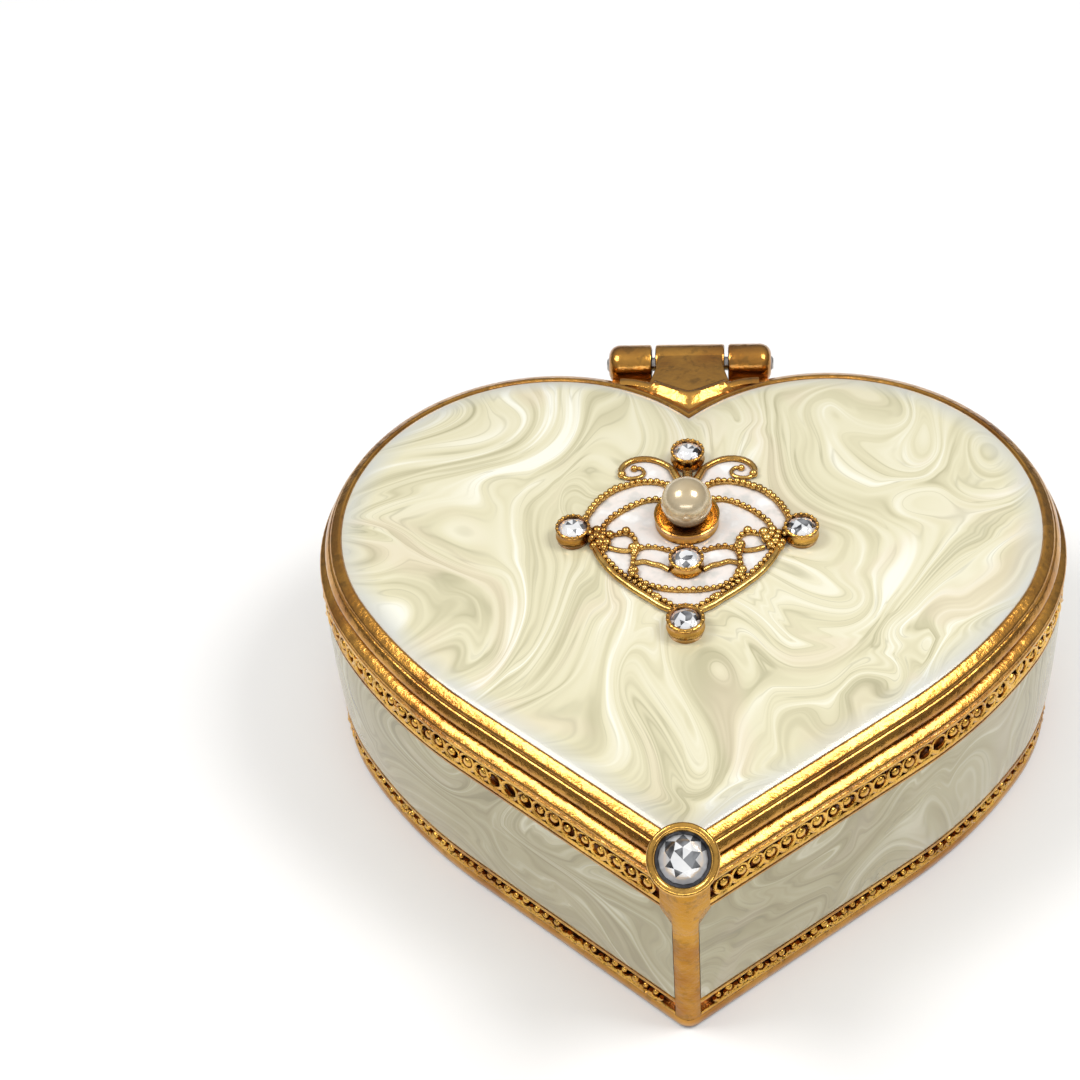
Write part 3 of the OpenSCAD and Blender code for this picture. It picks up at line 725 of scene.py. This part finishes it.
def strip(name, node, z0, z1, pitch, bead, rim_w, wobble, whole):
    """Gallery strip: thin rims, a deep channel, and small beads that each sit in a round socket."""
    s = Shape()
    for side in (-1, 1):
        back = RECESS - 0.03
        a, b = z0 + rim_w, z1 - rim_w
        w = rim_w * 0.6
        panel(s, side, [(back, z0), (0.10, z0), (0.03, z0 + 0.08), (0.02, z0 + w), (0.12, a), (back, a + 0.02)])
        panel(s, side, [(back, b - 0.02), (0.12, b), (0.02, z1 - w), (0.02, z1 - 0.08), (0.08, z1), (back, z1)])
        # channel floor in the darker gold: painted shade
        panel(s, side, [(back, a), (0.46, a), (0.46, b), (back, b)], 1)
        zc = (z0 + z1) / 2
        total = L1 + L2 + L3
        n = int((total - 3.2) / pitch)
        for i in range(n + 1):
            at = 1.65 + pitch * (i + 0.12 * (hashed(i, side + 2) - 0.5))
            (x, y), (nx, ny) = wall(at)
            if x < (YOKE + 0.35 if y < 0 else STEP + pitch * 0.45):
                continue
            turn = Matrix.Rotation(math.atan2(ny, side * nx), 4, "Z") @ Matrix.Rotation(pi / 2, 4, "Y")
            jitter = (hashed(i, side) - 0.5) * wobble * 1.6
            c = Vector((side * (x - nx * 0.36), y - ny * 0.36, zc + jitter))
            frame_at = Matrix.Translation(c) @ turn
            r = bead * (0.82 + 0.42 * hashed(i, side + 5))
            dx, dy, dz = (hashed(i, k) for k in (11, 13, 19))
            off = Matrix.Translation((0.3 * (dx - 0.5), 0.34 * (dy - 0.5), 0.12 * dz))
            if hashed(i, side + 23) > (0.12 if whole else 0.05):
                grain = [(r, -0.14), (r * 0.98, 0.05), (r * 0.8, 0.19), (r * 0.45, 0.28), (0, 0.31)]
                s.lathe(grain, 10, 0, frame_at @ off)
            ring_r = min(pitch * 0.5, (z1 - z0) / 2 - rim_w * 0.4) * (0.94 + 0.1 * hashed(i, 17))
            a0, a1, steps = (0, 360, 20) if whole else (-8, -172, 14)
            pts, rr = [], []
            for a in range(steps + 1):
                t = rad(a0 + (a1 - a0) * a / steps)
                low = 0.5 - 0.5 * sin(t)
                rise = 0.06 + 0.14 * low + 0.06 * hashed(i, 3)
                pts.append(tuple(frame_at @ Vector((-ring_r * sin(t), ring_r * cos(t), rise))))
                rr.append((0.12 + 0.10 * low) * (0.7 + 0.6 * hashed(i, a // 3 + 40 * side)))
            s.tube(pts, rr, 6)
    s.build(name, [GOLD_STRIP, GOLD_SOCKET_SHADE], BODY, [node], 45.0)


strip("upper_gallery_strip", "upper_beaded_strip", UP0, UP1, 1.46, 0.42, 0.44, 0.12, True)
strip("lower_gallery_strip", "lower_beaded_strip", LOW0, LOW1, 1.02, 0.32, 0.32, 0.08, False)

# bowl enamel: one smooth skin from the ledge down the wall, round the fillet and across the floor
bowl = [
    (2.75, LEDGE - 0.6), (2.75, LEDGE - 0.08), (2.85, LEDGE - 0.02), (3.1, LEDGE - 0.05), (3.24, LEDGE - 0.2),
    (3.3, LEDGE - 0.6),
]
fz, fr = FLOOR + 0.75, 3.6
bowl += [(3.3, fz + fr + (LEDGE - 0.6 - fz - fr) * (1 - i / 5)) for i in range(1, 6)]
bowl += [(3.3 + fr * (1 - cos(rad(a))), fz + fr * (1 - sin(rad(a)))) for a in range(9, 91, 9)]
loft("bowl_glaze", bowl, INNER, BODY, ["bowl_enamel"], 50.0, foot=False)

s = Shape()
z = (lo("base_magnet", 2), hi("base_magnet", 2))
s.lathe([
    (0, z[0]), (3.85, z[0]), (3.88, z[1] - 0.15), (3.75, z[1] - 0.02), (3.5, z[1]), (0, z[1]),
], 48, 0, Matrix.Translation((0, CUP, 0)))
s.build("base_catch_magnet", MAGNET, BODY, ["base_magnet"])

s = Shape()
half_pin = hi("hinge_pin", 0)
pin = [(0, 0), (0.45, 0), (0.6, 0.14)]
profile = [(r, z - half_pin) for r, z in pin] + [(r, half_pin - z) for r, z in pin[::-1]]
s.lathe(profile, 24, 0, AXIS)
s.build("hinge_wire", STEEL, BODY, ["hinge_pin"])

# ---- lid --------------------------------------------------------------------------------

L0 = 0.6  # the lid's outline, inset from the base's
EDGE = 2.1  # edge of the top enamel
PLUG = lo("lid_magnet", 2) - 0.4  # foot of the lid's plug ring


def lid_extra(s):
    # centre knuckle
    knuckle = [(0.66, 2.98), (BAR_R - 0.16, 2.98), (BAR_R - 0.04, 2.92), (BAR_R, 2.76)]
    s.lathe([(r, -z) for r, z in knuckle] + knuckle[::-1], 40, 0, AXIS, close=True)
    # V-shaped ridge across the cleft, with a hollow between it and the rim's crest
    def crest(x):
        return LY + math.sqrt((R - 1.8) ** 2 - (A - abs(x)) ** 2)

    def ridge(x):
        return LY + 14.55 + (math.hypot(x, 0.35) - 0.35) * 0.50

    def limit(x):
        back = LY + math.sqrt((R - L0) ** 2 - (A - abs(x)) ** 2) + 0.6 * (1 - (abs(x) / 5.9) ** 4) - 0.06
        return max(back, LY + 17.4 - max(0.0, abs(x) - 2.2) * 0.95)

    cols = [-5.9 + 11.8 * i / 48 for i in range(49)]
    v = []
    for x in cols:
        y0, y1 = crest(x) - 0.12, max(min(ridge(x), limit(x) - 0.84), crest(x) + 0.12)
        w = y1 - y0
        dip = min(0.42, 0.3 * w)
        section = [
            (y0, LID1 - 0.12), (y0 + 0.3 * w, LID1 - 0.1 - 0.9 * dip), (y0 + 0.5 * w, LID1 - 0.06 - dip),
            (y0 + 0.62 * w, LID1 - 0.9 * dip), (y1 - 0.3, LID1 - 0.1), (y1 - 0.05, LID1 + 0.02),
            (y1 + 0.25, LID1), (y1 + 0.62, LID1 - 0.2), (y1 + 0.8, LID1 - 0.5), (y1 + 0.84, LID0 + 0.1),
            (y0, LID0 + 0.1),
        ]
        v += [(x, y, z) for y, z in section]
    s.put(v, ends(len(cols), len(section)) + quads(len(cols), len(section)))
    # leaf: a strap from the barrel, spreading a little before it runs under the ridge
    zt, zb = LID0 + 1.42, LID0 + 0.18
    side_pts = [
        (2.84, HY - 0.3), (2.84, HY - 1.5), (2.98, HY - 2.3), (3.2, HY - 3.1), (3.42, HY - 3.9),
        (3.5, ridge(3.5) + 0.2), (1.75, ridge(1.75) + 0.2),
    ]
    outline = side_pts + [(0, ridge(0) + 0.2)] + [(-x, y) for x, y in side_pts[::-1]]
    levels = ((0.0, zb), (0.0, zt - 0.2), (0.05, zt - 0.06), (0.16, zt))
    v = [(x * (1 - inset / 3.0), y, z) for inset, z in levels for x, y in outline]
    s.put(v, ends(len(levels), len(outline)) + quads(len(levels), len(outline)))
    # ring round the lid magnet
    at = Matrix.Translation((0, CUP, 0))
    s.lathe([
        (3.92, LID0 + 0.2), (3.92, PLUG + 0.2), (4.02, PLUG + 0.06), (4.2, PLUG), (4.42, PLUG + 0.02),
        (4.58, PLUG + 0.13), (4.65, PLUG + 0.3), (4.65, LID0 + 0.1),
    ], 48, 0, at, close=True)


edge = [
    # plug ring from its inner foot, outwards and up
    (3.42, LID0 + 0.02), (3.42, PLUG + 0.14), (3.34, PLUG + 0.03), (3.2, PLUG), (2.85, PLUG + 0.02),
    (2.68, PLUG + 0.1), (2.6, PLUG + 0.28), (2.66, PLUG + 0.5), (2.58, PLUG + 0.72),
    (2.64, PLUG + 0.95), (2.56, PLUG + 1.2), (2.56, LID0 - 0.02), (2.5, LID0),
    # flange underside, steep band, groove, bead with a sloping face, enamel edge
    (L0 + 1.2, LID0), (L0 + 0.6, LID0 + 0.08), (L0 + 0.16, LID0 + 0.2), (L0 + 0.03, LID0 + 0.28),
    (L0, LID0 + 0.4), (L0, LID0 + 0.58), (L0 + 0.05, LID0 + 0.7), (L0 + 0.14, LID0 + 0.84),
    (L0 + 0.32, LID0 + 1.14), (L0 + 0.40, LID0 + 1.21), (L0 + 0.50, LID0 + 1.23), (L0 + 0.55, LID0 + 1.30),
    (L0 + 0.52, LID0 + 1.42), (L0 + 0.57, LID0 + 1.53),
    (L0 + 0.68, LID0 + 1.61), (L0 + 1.12, LID0 + 1.84), (L0 + 1.22, LID0 + 1.885), (L0 + 1.30, LID0 + 1.9),
    (L0 + 1.38, LID0 + 1.88), (L0 + 1.45, LID0 + 1.80),
    (EDGE, LID0 + 1.7), (EDGE + 0.02, TRAY + 0.1), (EDGE + 0.2, TRAY),
]
loft("lid_casting", edge, GOLD, LID, ["lid_shell"], 32.0, extra=lid_extra)

# domed top: contours go from the heart's edge to an oval crown and close on it
CROWN = (0.0, PY - 1.9)
OVAL_X, OVAL_Y = 12.5, 11.2  # proportions of the crown's oval
OVAL_AT_EDGE = 23.5 / OVAL_X * 0.94  # its size if it were drawn out to the edge
ALL_OVAL = 0.62  # contour from which nothing of the heart is left
EDGE_RING = ring(EDGE)


def dome_point(i, t):
    """Contour t (0 edge, 1 middle): the heart's shape softens to an oval as it climbs."""
    x, y = EDGE_RING[i][0] - CROWN[0], EDGE_RING[i][1] - CROWN[1]
    a = math.atan2(y * OVAL_X, x * OVAL_Y)
    w = eased(min(1.0, t / ALL_OVAL))
    x += (OVAL_X * OVAL_AT_EDGE * cos(a) - x) * w
    y += (OVAL_Y * OVAL_AT_EDGE * sin(a) - y) * w
    return CROWN[0] + x * (1 - t), CROWN[1] + y * (1 - t)


def dome_height(t):
    """Pillow: steep at the edge, nearly level over the crown."""
    q = 1 - t
    return (LID1 - 0.2) + (DOME - LID1 + 0.18) * (1 - q ** 2.6) ** 0.85


CONTOURS = 44
verts = [(x, y, TRAY + 0.02) for x, y in ring(EDGE + 0.05)]
for k in range(CONTOURS):
    t = (k / CONTOURS) ** 1.35
    verts += [(*dome_point(i, t), dome_height(t)) for i in range(COUNT)]
verts.append((*CROWN, dome_height(1.0)))
faces = ends(1, COUNT)[:1] + quads(CONTOURS + 1, COUNT) + fan(CONTOURS * COUNT, COUNT, len(verts) - 1)
add("top_glaze", verts, faces, TOP, LID, ["lid_top_enamel"], 60.0)


def bearing(p):
    return math.atan2(p[1] - CROWN[1], p[0] - CROWN[0])


def top_z(x, y):
    """Height of the dome over (x, y), found along its own contours."""
    want = math.dist((x, y), CROWN)
    if want < 1e-6:
        return dome_height(1.0)
    ang = bearing((x, y))
    near = min(range(COUNT), key=lambda i: abs(math.remainder(bearing(EDGE_RING[i]) - ang, 2 * pi)))
    lo_t, hi_t = 0.0, 1.0
    for _ in range(30):
        t = (lo_t + hi_t) / 2
        if math.dist(dome_point(near, t), CROWN) > want:
            lo_t = t
        else:
            hi_t = t
    return dome_height((lo_t + hi_t) / 2)


# enamel under the lid, slightly domed
under = [(3.5, LID0 + 0.02), (3.5, PLUG + 0.75), (3.7, PLUG + 0.62), (4.3, PLUG + 0.55), (6.0, PLUG + 0.5)]
loft("lid_under_glaze", under, INNER, LID, ["lid_inner_enamel"], 60.0)

s = Shape()
z = (lo("lid_magnet", 2), hi("lid_magnet", 2))
s.lathe([
    (0, z[1]), (3.88, z[1]), (3.88, z[0] + 0.15), (3.75, z[0] + 0.02), (3.5, z[0]), (0, z[0]),
], 48, 0, Matrix.Translation((0, CUP, 0)))
s.build("lid_catch_magnet", MAGNET, LID, ["lid_magnet"])

# ---- thumb piece ------------------------------------------------------------------------

TR = (hi("thumb_bezel", 0) - lo("thumb_bezel", 0)) / 2
TILT = rad(38)  # the cup's axis leans forward from the vertical
THUMB_REACH = 34.037  # from the lobes' centres to the middle of its face
THUMB_Z = hi("thumb_bezel", 2) - TR * sin(TILT)
THUMB = Matrix.Translation((0, LY - THUMB_REACH, THUMB_Z)) @ Matrix.Rotation(TILT, 4, "X")

s = Shape()
cup = [
    (0.0, -2.85), (1.2, -2.8), (1.6, -2.5), (2.0, -1.9), (2.34, -1.2), (2.52, -0.7), (TR - 0.01, -0.34),
    (TR - 0.02, -0.12), (TR - 0.14, 0.0), (2.2, -0.01), (2.04, -0.1), (1.95, -0.3), (1.9, -0.75), (0, -0.85),
]
s.lathe(cup, 48, 0, THUMB)
s.build("thumb_cup", GOLD_TRIM, LID, ["thumb_bezel"], 60.0)


def cut_stone(s, where, r, crown, girdle, pavilion, seed, gloom=1.0):
    """Round brilliant: table, star, main and girdle facets split between painted bright and dark reflections,
    and a pavilion.
    """
    n, m = 8, 16

    def circle(radius, z, count, first=0.0):
        angles = [pi * 2 * i / count + first for i in range(count)]
        return [(radius * cos(a), radius * sin(a), z) for a in angles]

    v = circle(0.5 * r, girdle + crown * r, n) + circle(0.78 * r, girdle + crown * r * 0.52, n, pi / n)
    v += circle(r, girdle, m) + circle(r, 0.0, m) + circle(0.1 * r, -pavilion * r, n)
    v.append((0, 0, girdle + crown * r * 0.94))
    T, M, G, H, C = 0, n, 2 * n, 2 * n + m, 2 * n + 2 * m
    top = len(v) - 1
    light, dark = [], []

    def put(face, p, key):
        (dark if hashed(key, seed) < p * gloom else light).append(face)

    for i in range(n):
        j = (i + 1) % n
        a, b, c = 2 * i, 2 * i + 1, (2 * i + 2) % m
        put((top, T + i, T + j), 0.45, i)  # slightly dished table
        put((T + i, M + i, T + j), 0.3, 20 + i)  # star
        put((T + i, M + (i - 1) % n, G + a, M + i), 0.22, 40 + i)  # main
        put((M + i, G + a, G + b), 0.4, 60 + i)  # girdle facets
        put((M + i, G + b, G + c), 0.4, 80 + i)
        light.append((H + a, C + i, H + b))
        light.append((H + b, C + i, C + j, H + c))
    for i in range(m):
        j = (i + 1) % m
        dark.append((G + i, H + i, H + j, G + j))
    light.append(tuple(C + i for i in range(n)))
    s.put(v, light, 0, where, dark)


s = Shape()
cut_stone(s, THUMB @ Matrix.Translation((0, 0, -0.72)), 1.74, 0.42, 0.1, 0.05, seed=3, gloom=0.8)
s.build("thumb_stone", [FACET_BRIGHT_REFLECTION, FACET_DARK_REFLECTION], LID, ["thumb_crystal"], 5.0)

# a thin dark ring round the thumb stone's edge: painted shade
s = Shape()
s.lathe([(1.72, -0.7), (1.92, -0.66), (1.99, -0.26), (1.94, -0.22), (1.76, -0.5)], 48, 0, THUMB, close=True)
s.build("thumb_stone_edge_shade", DARK_EDGE_SHADE, LID, (), 60.0)

# ---- ornament ---------------------------------------------------------------------------

stones = {
    "top": (0.0, 7.0), "left": (-8.9, -1.4), "right": (8.9, -1.4), "centre": (0.0, -4.7),
    "bottom": (0.0, -10.9),
}
BASE_Z = lo("top_bezel", 2)
GOLDEN_ANGLE = 2.4


def smooth_path(points, n=40):
    """Catmull-Rom through 2-D points, evenly spaced."""
    p = [points[0]] + list(points) + [points[-1]]
    out = []
    for i in range(1, len(p) - 2):
        for k in range(16):
            t = k / 16
            q = []
            for c in (0, 1):
                a, b, d, e = (p[i + step][c] for step in (-1, 0, 1, 2))
                curve, twist = 2 * a - 5 * b + 4 * d - e, 3 * b - a - 3 * d + e
                q.append(0.5 * (2 * b + (d - a) * t + curve * t * t + twist * t ** 3))
            out.append(tuple(q))
    out.append(tuple(points[-1]))
    length = [0.0]
    for a, b in zip(out, out[1:]):
        length.append(length[-1] + math.hypot(b[0] - a[0], b[1] - a[1]))
    res, j = [], 0
    for k in range(n + 1):
        want = length[-1] * k / n
        while j < len(length) - 2 and length[j + 1] < want:
            j += 1
        u = (want - length[j]) / max(1e-9, length[j + 1] - length[j])
        (x0, y0), (x1, y1) = out[j], out[j + 1]
        res.append((x0 + (x1 - x0) * u, y0 + (y1 - y0) * u))
    return res, length[-1]


def on_dome(x, y, lift=0.0):
    """Point of the ornament at (x, y) from the pearl's axis."""
    return (x, y + PY, min(top_z(x, y + PY), DOME) + lift)


def beaded(s, points, r=0.3, pitch=0.5, lift=0.3, seed=0):
    """Beaded wire: a core with a row of close, slightly uneven beads on it."""
    path, length = smooth_path(points, 60)
    s.tube([on_dome(x, y, lift * 0.4) for x, y in path], r * 0.86)
    path, _ = smooth_path(points, max(2, int(length / pitch)))
    for i, (x, y) in enumerate(path):
        dx, dy, dz = (0.05 * hashed(i, seed + k) for k in (3, 4, 5))
        s.ball(on_dome(x + dx - 0.025, y + dy - 0.025, lift + dz), r * (0.84 + 0.3 * hashed(i, seed)))


def wire(s, points, r=0.22, lift=0.22, taper=1.0, n=40):
    """Smooth wire; taper: share of the radius left at the last point."""
    path, length = smooth_path(points, n)
    seed = int(length * 7)
    rr = [r * (1 + (taper - 1) * (i / n) ** 2) * (0.95 + 0.1 * hashed(i, seed)) for i in range(n + 1)]
    s.tube([on_dome(x, y, lift) for x, y in path], rr)


def knot(s, x, y, count, spread, r, seed):
    """Cluster of grains in a spiral."""
    for i in range(count):
        a = GOLDEN_ANGLE * i
        q = spread * math.sqrt((i + 0.3) / count)
        at = on_dome(x + q * cos(a), y + q * sin(a) * 1.15, 0.25 + 0.28 * hashed(i, seed))
        s.ball(at, r * (0.75 + 0.5 * hashed(i, seed + 1)))


s = Shape()
for side in (-1, 1):
    def flip(*pts):
        return [(side * x, y) for x, y in pts]

    sd = 5 if side > 0 else 0
    beaded(s, flip(
        (1.2, 3.7), (1.9, 4.2), (2.6, 4.42), (3.4, 4.45), (4.2, 4.3), (5.0, 4.0), (5.8, 3.6), (6.5, 3.0),
        (7.1, 2.3), (7.55, 1.5), (7.9, 0.7), (8.0, 0.0), (7.7, -0.9),
    ), 0.30, 0.47, 0.3, sd)
    beaded(s, flip(
        (2.0, 2.35), (2.7, 2.42), (3.5, 2.22), (4.3, 1.8), (5.1, 1.25), (5.7, 0.7), (6.2, 0.15), (6.5, -0.4),
        (6.55, -1.0),
    ), 0.27, 0.5, 0.27, sd + 1)
    wire(s, flip(
        (0.75, 4.6), (0.95, 5.3), (1.2, 5.8), (1.7, 6.4), (2.5, 6.95), (3.4, 7.2), (4.3, 7.1), (4.95, 6.7),
        (5.35, 6.05), (5.3, 5.4),
    ), 0.27)
    wire(s, flip(
        (5.3, 5.45), (4.95, 5.0), (4.3, 4.9), (3.7, 5.15), (3.5, 5.65), (3.8, 6.1), (4.3, 6.1),
    ), 0.2, 0.2, 0.7)
    s.ball(on_dome(side * 5.28, 5.35, 0.28), 0.36, 12, 8)
    s.ball(on_dome(side * 4.3, 6.05, 0.24), 0.3, 12, 8)
    # lower sides: a smooth outer wire with a beaded one lying against it
    wire(s, flip(
        (7.2, -2.6), (6.85, -3.55), (6.2, -4.7), (5.45, -5.7), (4.55, -6.6), (3.65, -7.4), (2.7, -8.15),
        (1.9, -8.8), (1.05, -9.25), (0.0, -9.5),
    ), 0.3, 0.26)
    beaded(s, flip(
        (6.7, -2.9), (6.3, -3.8), (5.7, -4.7), (5.0, -5.5), (4.2, -6.3), (3.2, -7.1), (2.3, -7.9), (1.5, -8.5),
        (0.8, -9.0),
    ), 0.25, 0.5, 0.3, sd + 2)
    beaded(s, flip(
        (4.15, -5.5), (3.6, -6.2), (2.8, -6.75), (1.9, -7.05), (1.0, -7.2), (0.0, -7.25),
    ), 0.25, 0.48, 0.28, sd + 3)
    # garlands from the middle stone to the upright links
    beaded(s, flip((4.0, -3.1), (3.2, -2.75), (2.3, -2.8), (1.4, -3.1)), 0.24, 0.5, 0.26, sd + 4)
    wire(s, flip((4.0, -4.5), (3.3, -4.3), (2.6, -4.55), (1.95, -4.75), (1.3, -5.2)), 0.22)
    beaded(s, flip((4.0, -3.0), (4.1, -3.9), (4.15, -4.7), (4.15, -5.6)), 0.27, 0.48, 0.28, sd + 6)
    # loop beside the knot
    beaded(s, flip(
        (6.3, -1.5), (5.6, -1.35), (4.8, -1.25), (4.2, -1.6), (3.95, -2.3), (4.0, -3.0),
    ), 0.25, 0.5, 0.27, sd + 7)
    wire(s, flip((4.0, -3.05), (4.6, -3.15), (5.3, -3.05), (6.0, -2.8)), 0.22)
    s.ball(on_dome(side * 4.75, -1.15, 0.36), 0.38, 12, 8)
    knot(s, side * 6.85, -1.85, 11, 1.0, 0.4, 20 + sd)
    knot(s, side * 4.05, -3.05, 4, 0.3, 0.33, 30 + sd)
    knot(s, side * 4.15, -5.6, 4, 0.3, 0.32, 40 + sd)
    knot(s, side * 2.3, -8.0, 3, 0.3, 0.28, 50 + sd)
    # flutes of the tulip that carries the top stone
    wire(s, [(side * 0.15, 3.0), (side * 0.35, 4.0), (side * 0.85, 4.9), (side * 1.25, 5.9)], 0.33, 0.3)
wire(s, [(0.0, 2.6), (0.0, 3.8), (0.0, 5.6)], 0.42, 0.3)
knot(s, 0.0, -9.45, 4, 0.4, 0.34, 60)
s.build("filigree_wires", GOLD_WIRE, LID, ["filigree_frame"], 60.0)

# whitish enamel in the filigree's cells: a thin skin that follows the dome
cells = [
    (0.0, 5.0), (0.7, 5.3), (1.4, 6.1), (2.4, 6.9), (3.4, 7.15), (4.4, 7.0), (5.2, 6.3), (5.2, 5.3), (5.0, 4.4),
    (5.9, 3.7), (7.1, 2.4), (7.8, 1.0), (8.0, -0.3), (7.8, -1.8), (7.0, -3.3), (6.2, -4.7), (5.4, -5.7),
    (4.5, -6.6), (3.2, -7.8), (1.9, -8.8), (0.9, -9.3), (0.0, -9.5),
]
outline, _ = smooth_path(cells, 70)
loop = outline + [(-x, y) for x, y in outline[-2:0:-1]]
SKIN, MIDDLE, STEPS = 0.1, -1.6, 12  # thickness above the dome, centre, rings
sizes = [(1.0, -SKIN), (0.995, SKIN)] + [(1 - k / STEPS, SKIN) for k in range(2, STEPS)]
verts = [on_dome(x * q, MIDDLE + (y - MIDDLE) * q, lift) for q, lift in sizes for x, y in loop]
verts.append(on_dome(0, MIDDLE, SKIN))
n = len(loop)
faces = quads(STEPS, n) + fan((STEPS - 1) * n, n, len(verts) - 1) + ends(1, n)[:1]
add("filigree_glaze", verts, faces, WHITE, LID, ["filigree_enamel"], 60.0)

for name, (x, y) in stones.items():
    r = 1.5 if name == "bottom" else 1.4
    at = Matrix.Translation((PX + x, PY + y, BASE_Z))
    h = 1.2
    s = Shape()
    s.lathe([
        (0, -0.4), (r - 0.12, -0.4), (r - 0.1, 0.05), (r - 0.02, 0.2), (r - 0.14, 0.42), (r - 0.18, 0.7),
        (r - 0.08, 0.95), (r - 0.03, h - 0.12), (r - 0.1, h - 0.02), (1.2, h), (1.13, h - 0.12), (1.1, h - 0.5),
        (0, h - 0.55),
    ], 36, 0, at)
    for i in range(18):
        t = 2 * pi * (i + 0.5) / 18
        s.ball(tuple(at @ Vector(((r - 0.16) * cos(t), (r - 0.16) * sin(t), h - 0.1))), 0.15, 8, 6)
    s.build(name + "_bezel_cup", GOLD_TRIM, LID, [name + "_bezel"], 50.0)
    s = Shape()
    cut_stone(s, at @ Matrix.Translation((0, 0, h - 0.34)), 1.12, 0.36, 0.06, 0.13, seed=sum(map(ord, name)))
    s.build(name + "_stone", [FACET_BRIGHT_REFLECTION, FACET_DARK_REFLECTION], LID, [name + "_crystal"], 5.0)

s = Shape()
at = Matrix.Translation((PX, PY, BASE_Z))
s.lathe([
    (0, -0.3), (2.3, -0.3), (2.36, 0.06), (2.5, 0.16), (2.42, 0.35), (2.44, 0.7), (2.56, 0.98), (2.58, 1.06),
    (2.5, 1.1), (2.38, 1.04), (2.26, 0.8), (2.0, 0.45), (0, 0.25),
], 48, 0, at)
s.build("pearl_dish", GOLD_TRIM, LID, ["pearl_cup"], 50.0)

s = Shape()
s.ball((PX, PY, PEARL_Z), PEARL_R, 48, 32)
s.build("pearl_bead", PEARL, LID, ["pearl"], 60.0)

# ---- stage ------------------------------------------------------------------------------


def stage_material(name, colour):
    m = Nodes(name)
    c = m.ramp(m.noise(m.coords(), 30, 2), [(0.3, tuple(x * 0.985 for x in colour)), (0.7, colour)])
    m.link(c, m.p.inputs["Base Color"])
    m.put(m.p, Roughness=0.7, Specular_IOR_Level=0.2)
    return m.mat


me = bpy.data.meshes.new("floor")
me.from_pydata([(-3, -3, 0), (3, -3, 0), (3, 3, 0), (-3, 3, 0)], [], [(0, 1, 2, 3)])
floor = bpy.data.objects.new("floor", me)
me.materials.append(stage_material("pale_floor", (0.93, 0.93, 0.93)))
bpy.context.scene.collection.objects.link(floor)


AIM = (0, 0, 0.012)  # the middle of the box, in metres


def area(name, at, size, power, colour):
    d = bpy.data.lights.new(name, "AREA")
    d.shape = "RECTANGLE"
    d.size, d.size_y = size
    d.energy = power
    d.color = colour
    o = bpy.data.objects.new(name, d)
    bpy.context.scene.collection.objects.link(o)
    o.location = at
    o.rotation_euler = (Vector(AIM) - Vector(at)).to_track_quat("-Z", "Y").to_euler()


area("left", (-0.23, 0.0, 0.38), (0.15, 0.15), 0.70, (1.0, 0.98, 0.95))
area("right", (0.23, 0.0, 0.38), (0.15, 0.15), 0.77, (1.0, 0.99, 0.97))
area("front", (0.0, -0.36, 0.20), (0.40, 0.05), 0.24, (1.0, 1.0, 1.0))

world = bpy.data.worlds.new("studio")
world.use_nodes = True
wt = world.node_tree
bg = wt.nodes["Background"]
where = wt.nodes.new("ShaderNodeTexCoord")
split = wt.nodes.new("ShaderNodeSeparateXYZ")
shade = wt.nodes.new("ShaderNodeValToRGB")
for stop, place, colour in zip(
    shade.color_ramp.elements, (0.0, 0.95), ((0.10, 0.10, 0.105), (0.74, 0.74, 0.74)),
):
    stop.position, stop.color = place, (*colour, 1)
wt.links.new(where.outputs["Generated"], split.inputs[0])
wt.links.new(split.outputs[2], shade.inputs[0])
wt.links.new(shade.outputs[0], bg.inputs[0])
bg.inputs[1].default_value = 1.0
bpy.context.scene.world = world

cam_data = bpy.data.cameras.new("camera")
cam = bpy.data.objects.new("camera", cam_data)
bpy.context.scene.collection.objects.link(cam)
cam_data.sensor_width = 36.0
cam_data.lens = 220.0 / 3
cam_data.clip_start = 0.01
cam_data.clip_end = 10
# place in millimetres, viewing direction, upward direction
CAM = ((3.298, -115.146, 148.544), (-0.085638, 0.682888, -0.725486), (0.005683, 0.728484, 0.685039))
pos, fwd, up = (Vector(c) for c in CAM)
fwd.normalize()
across = fwd.cross(up).normalized()
up = across.cross(fwd)
rot = Matrix((across, up, -fwd)).transposed()
cam.matrix_world = Matrix.Translation(pos * MM) @ rot.to_4x4()
bpy.context.scene.camera = cam
bpy.context.scene.view_settings.view_transform = "Standard"
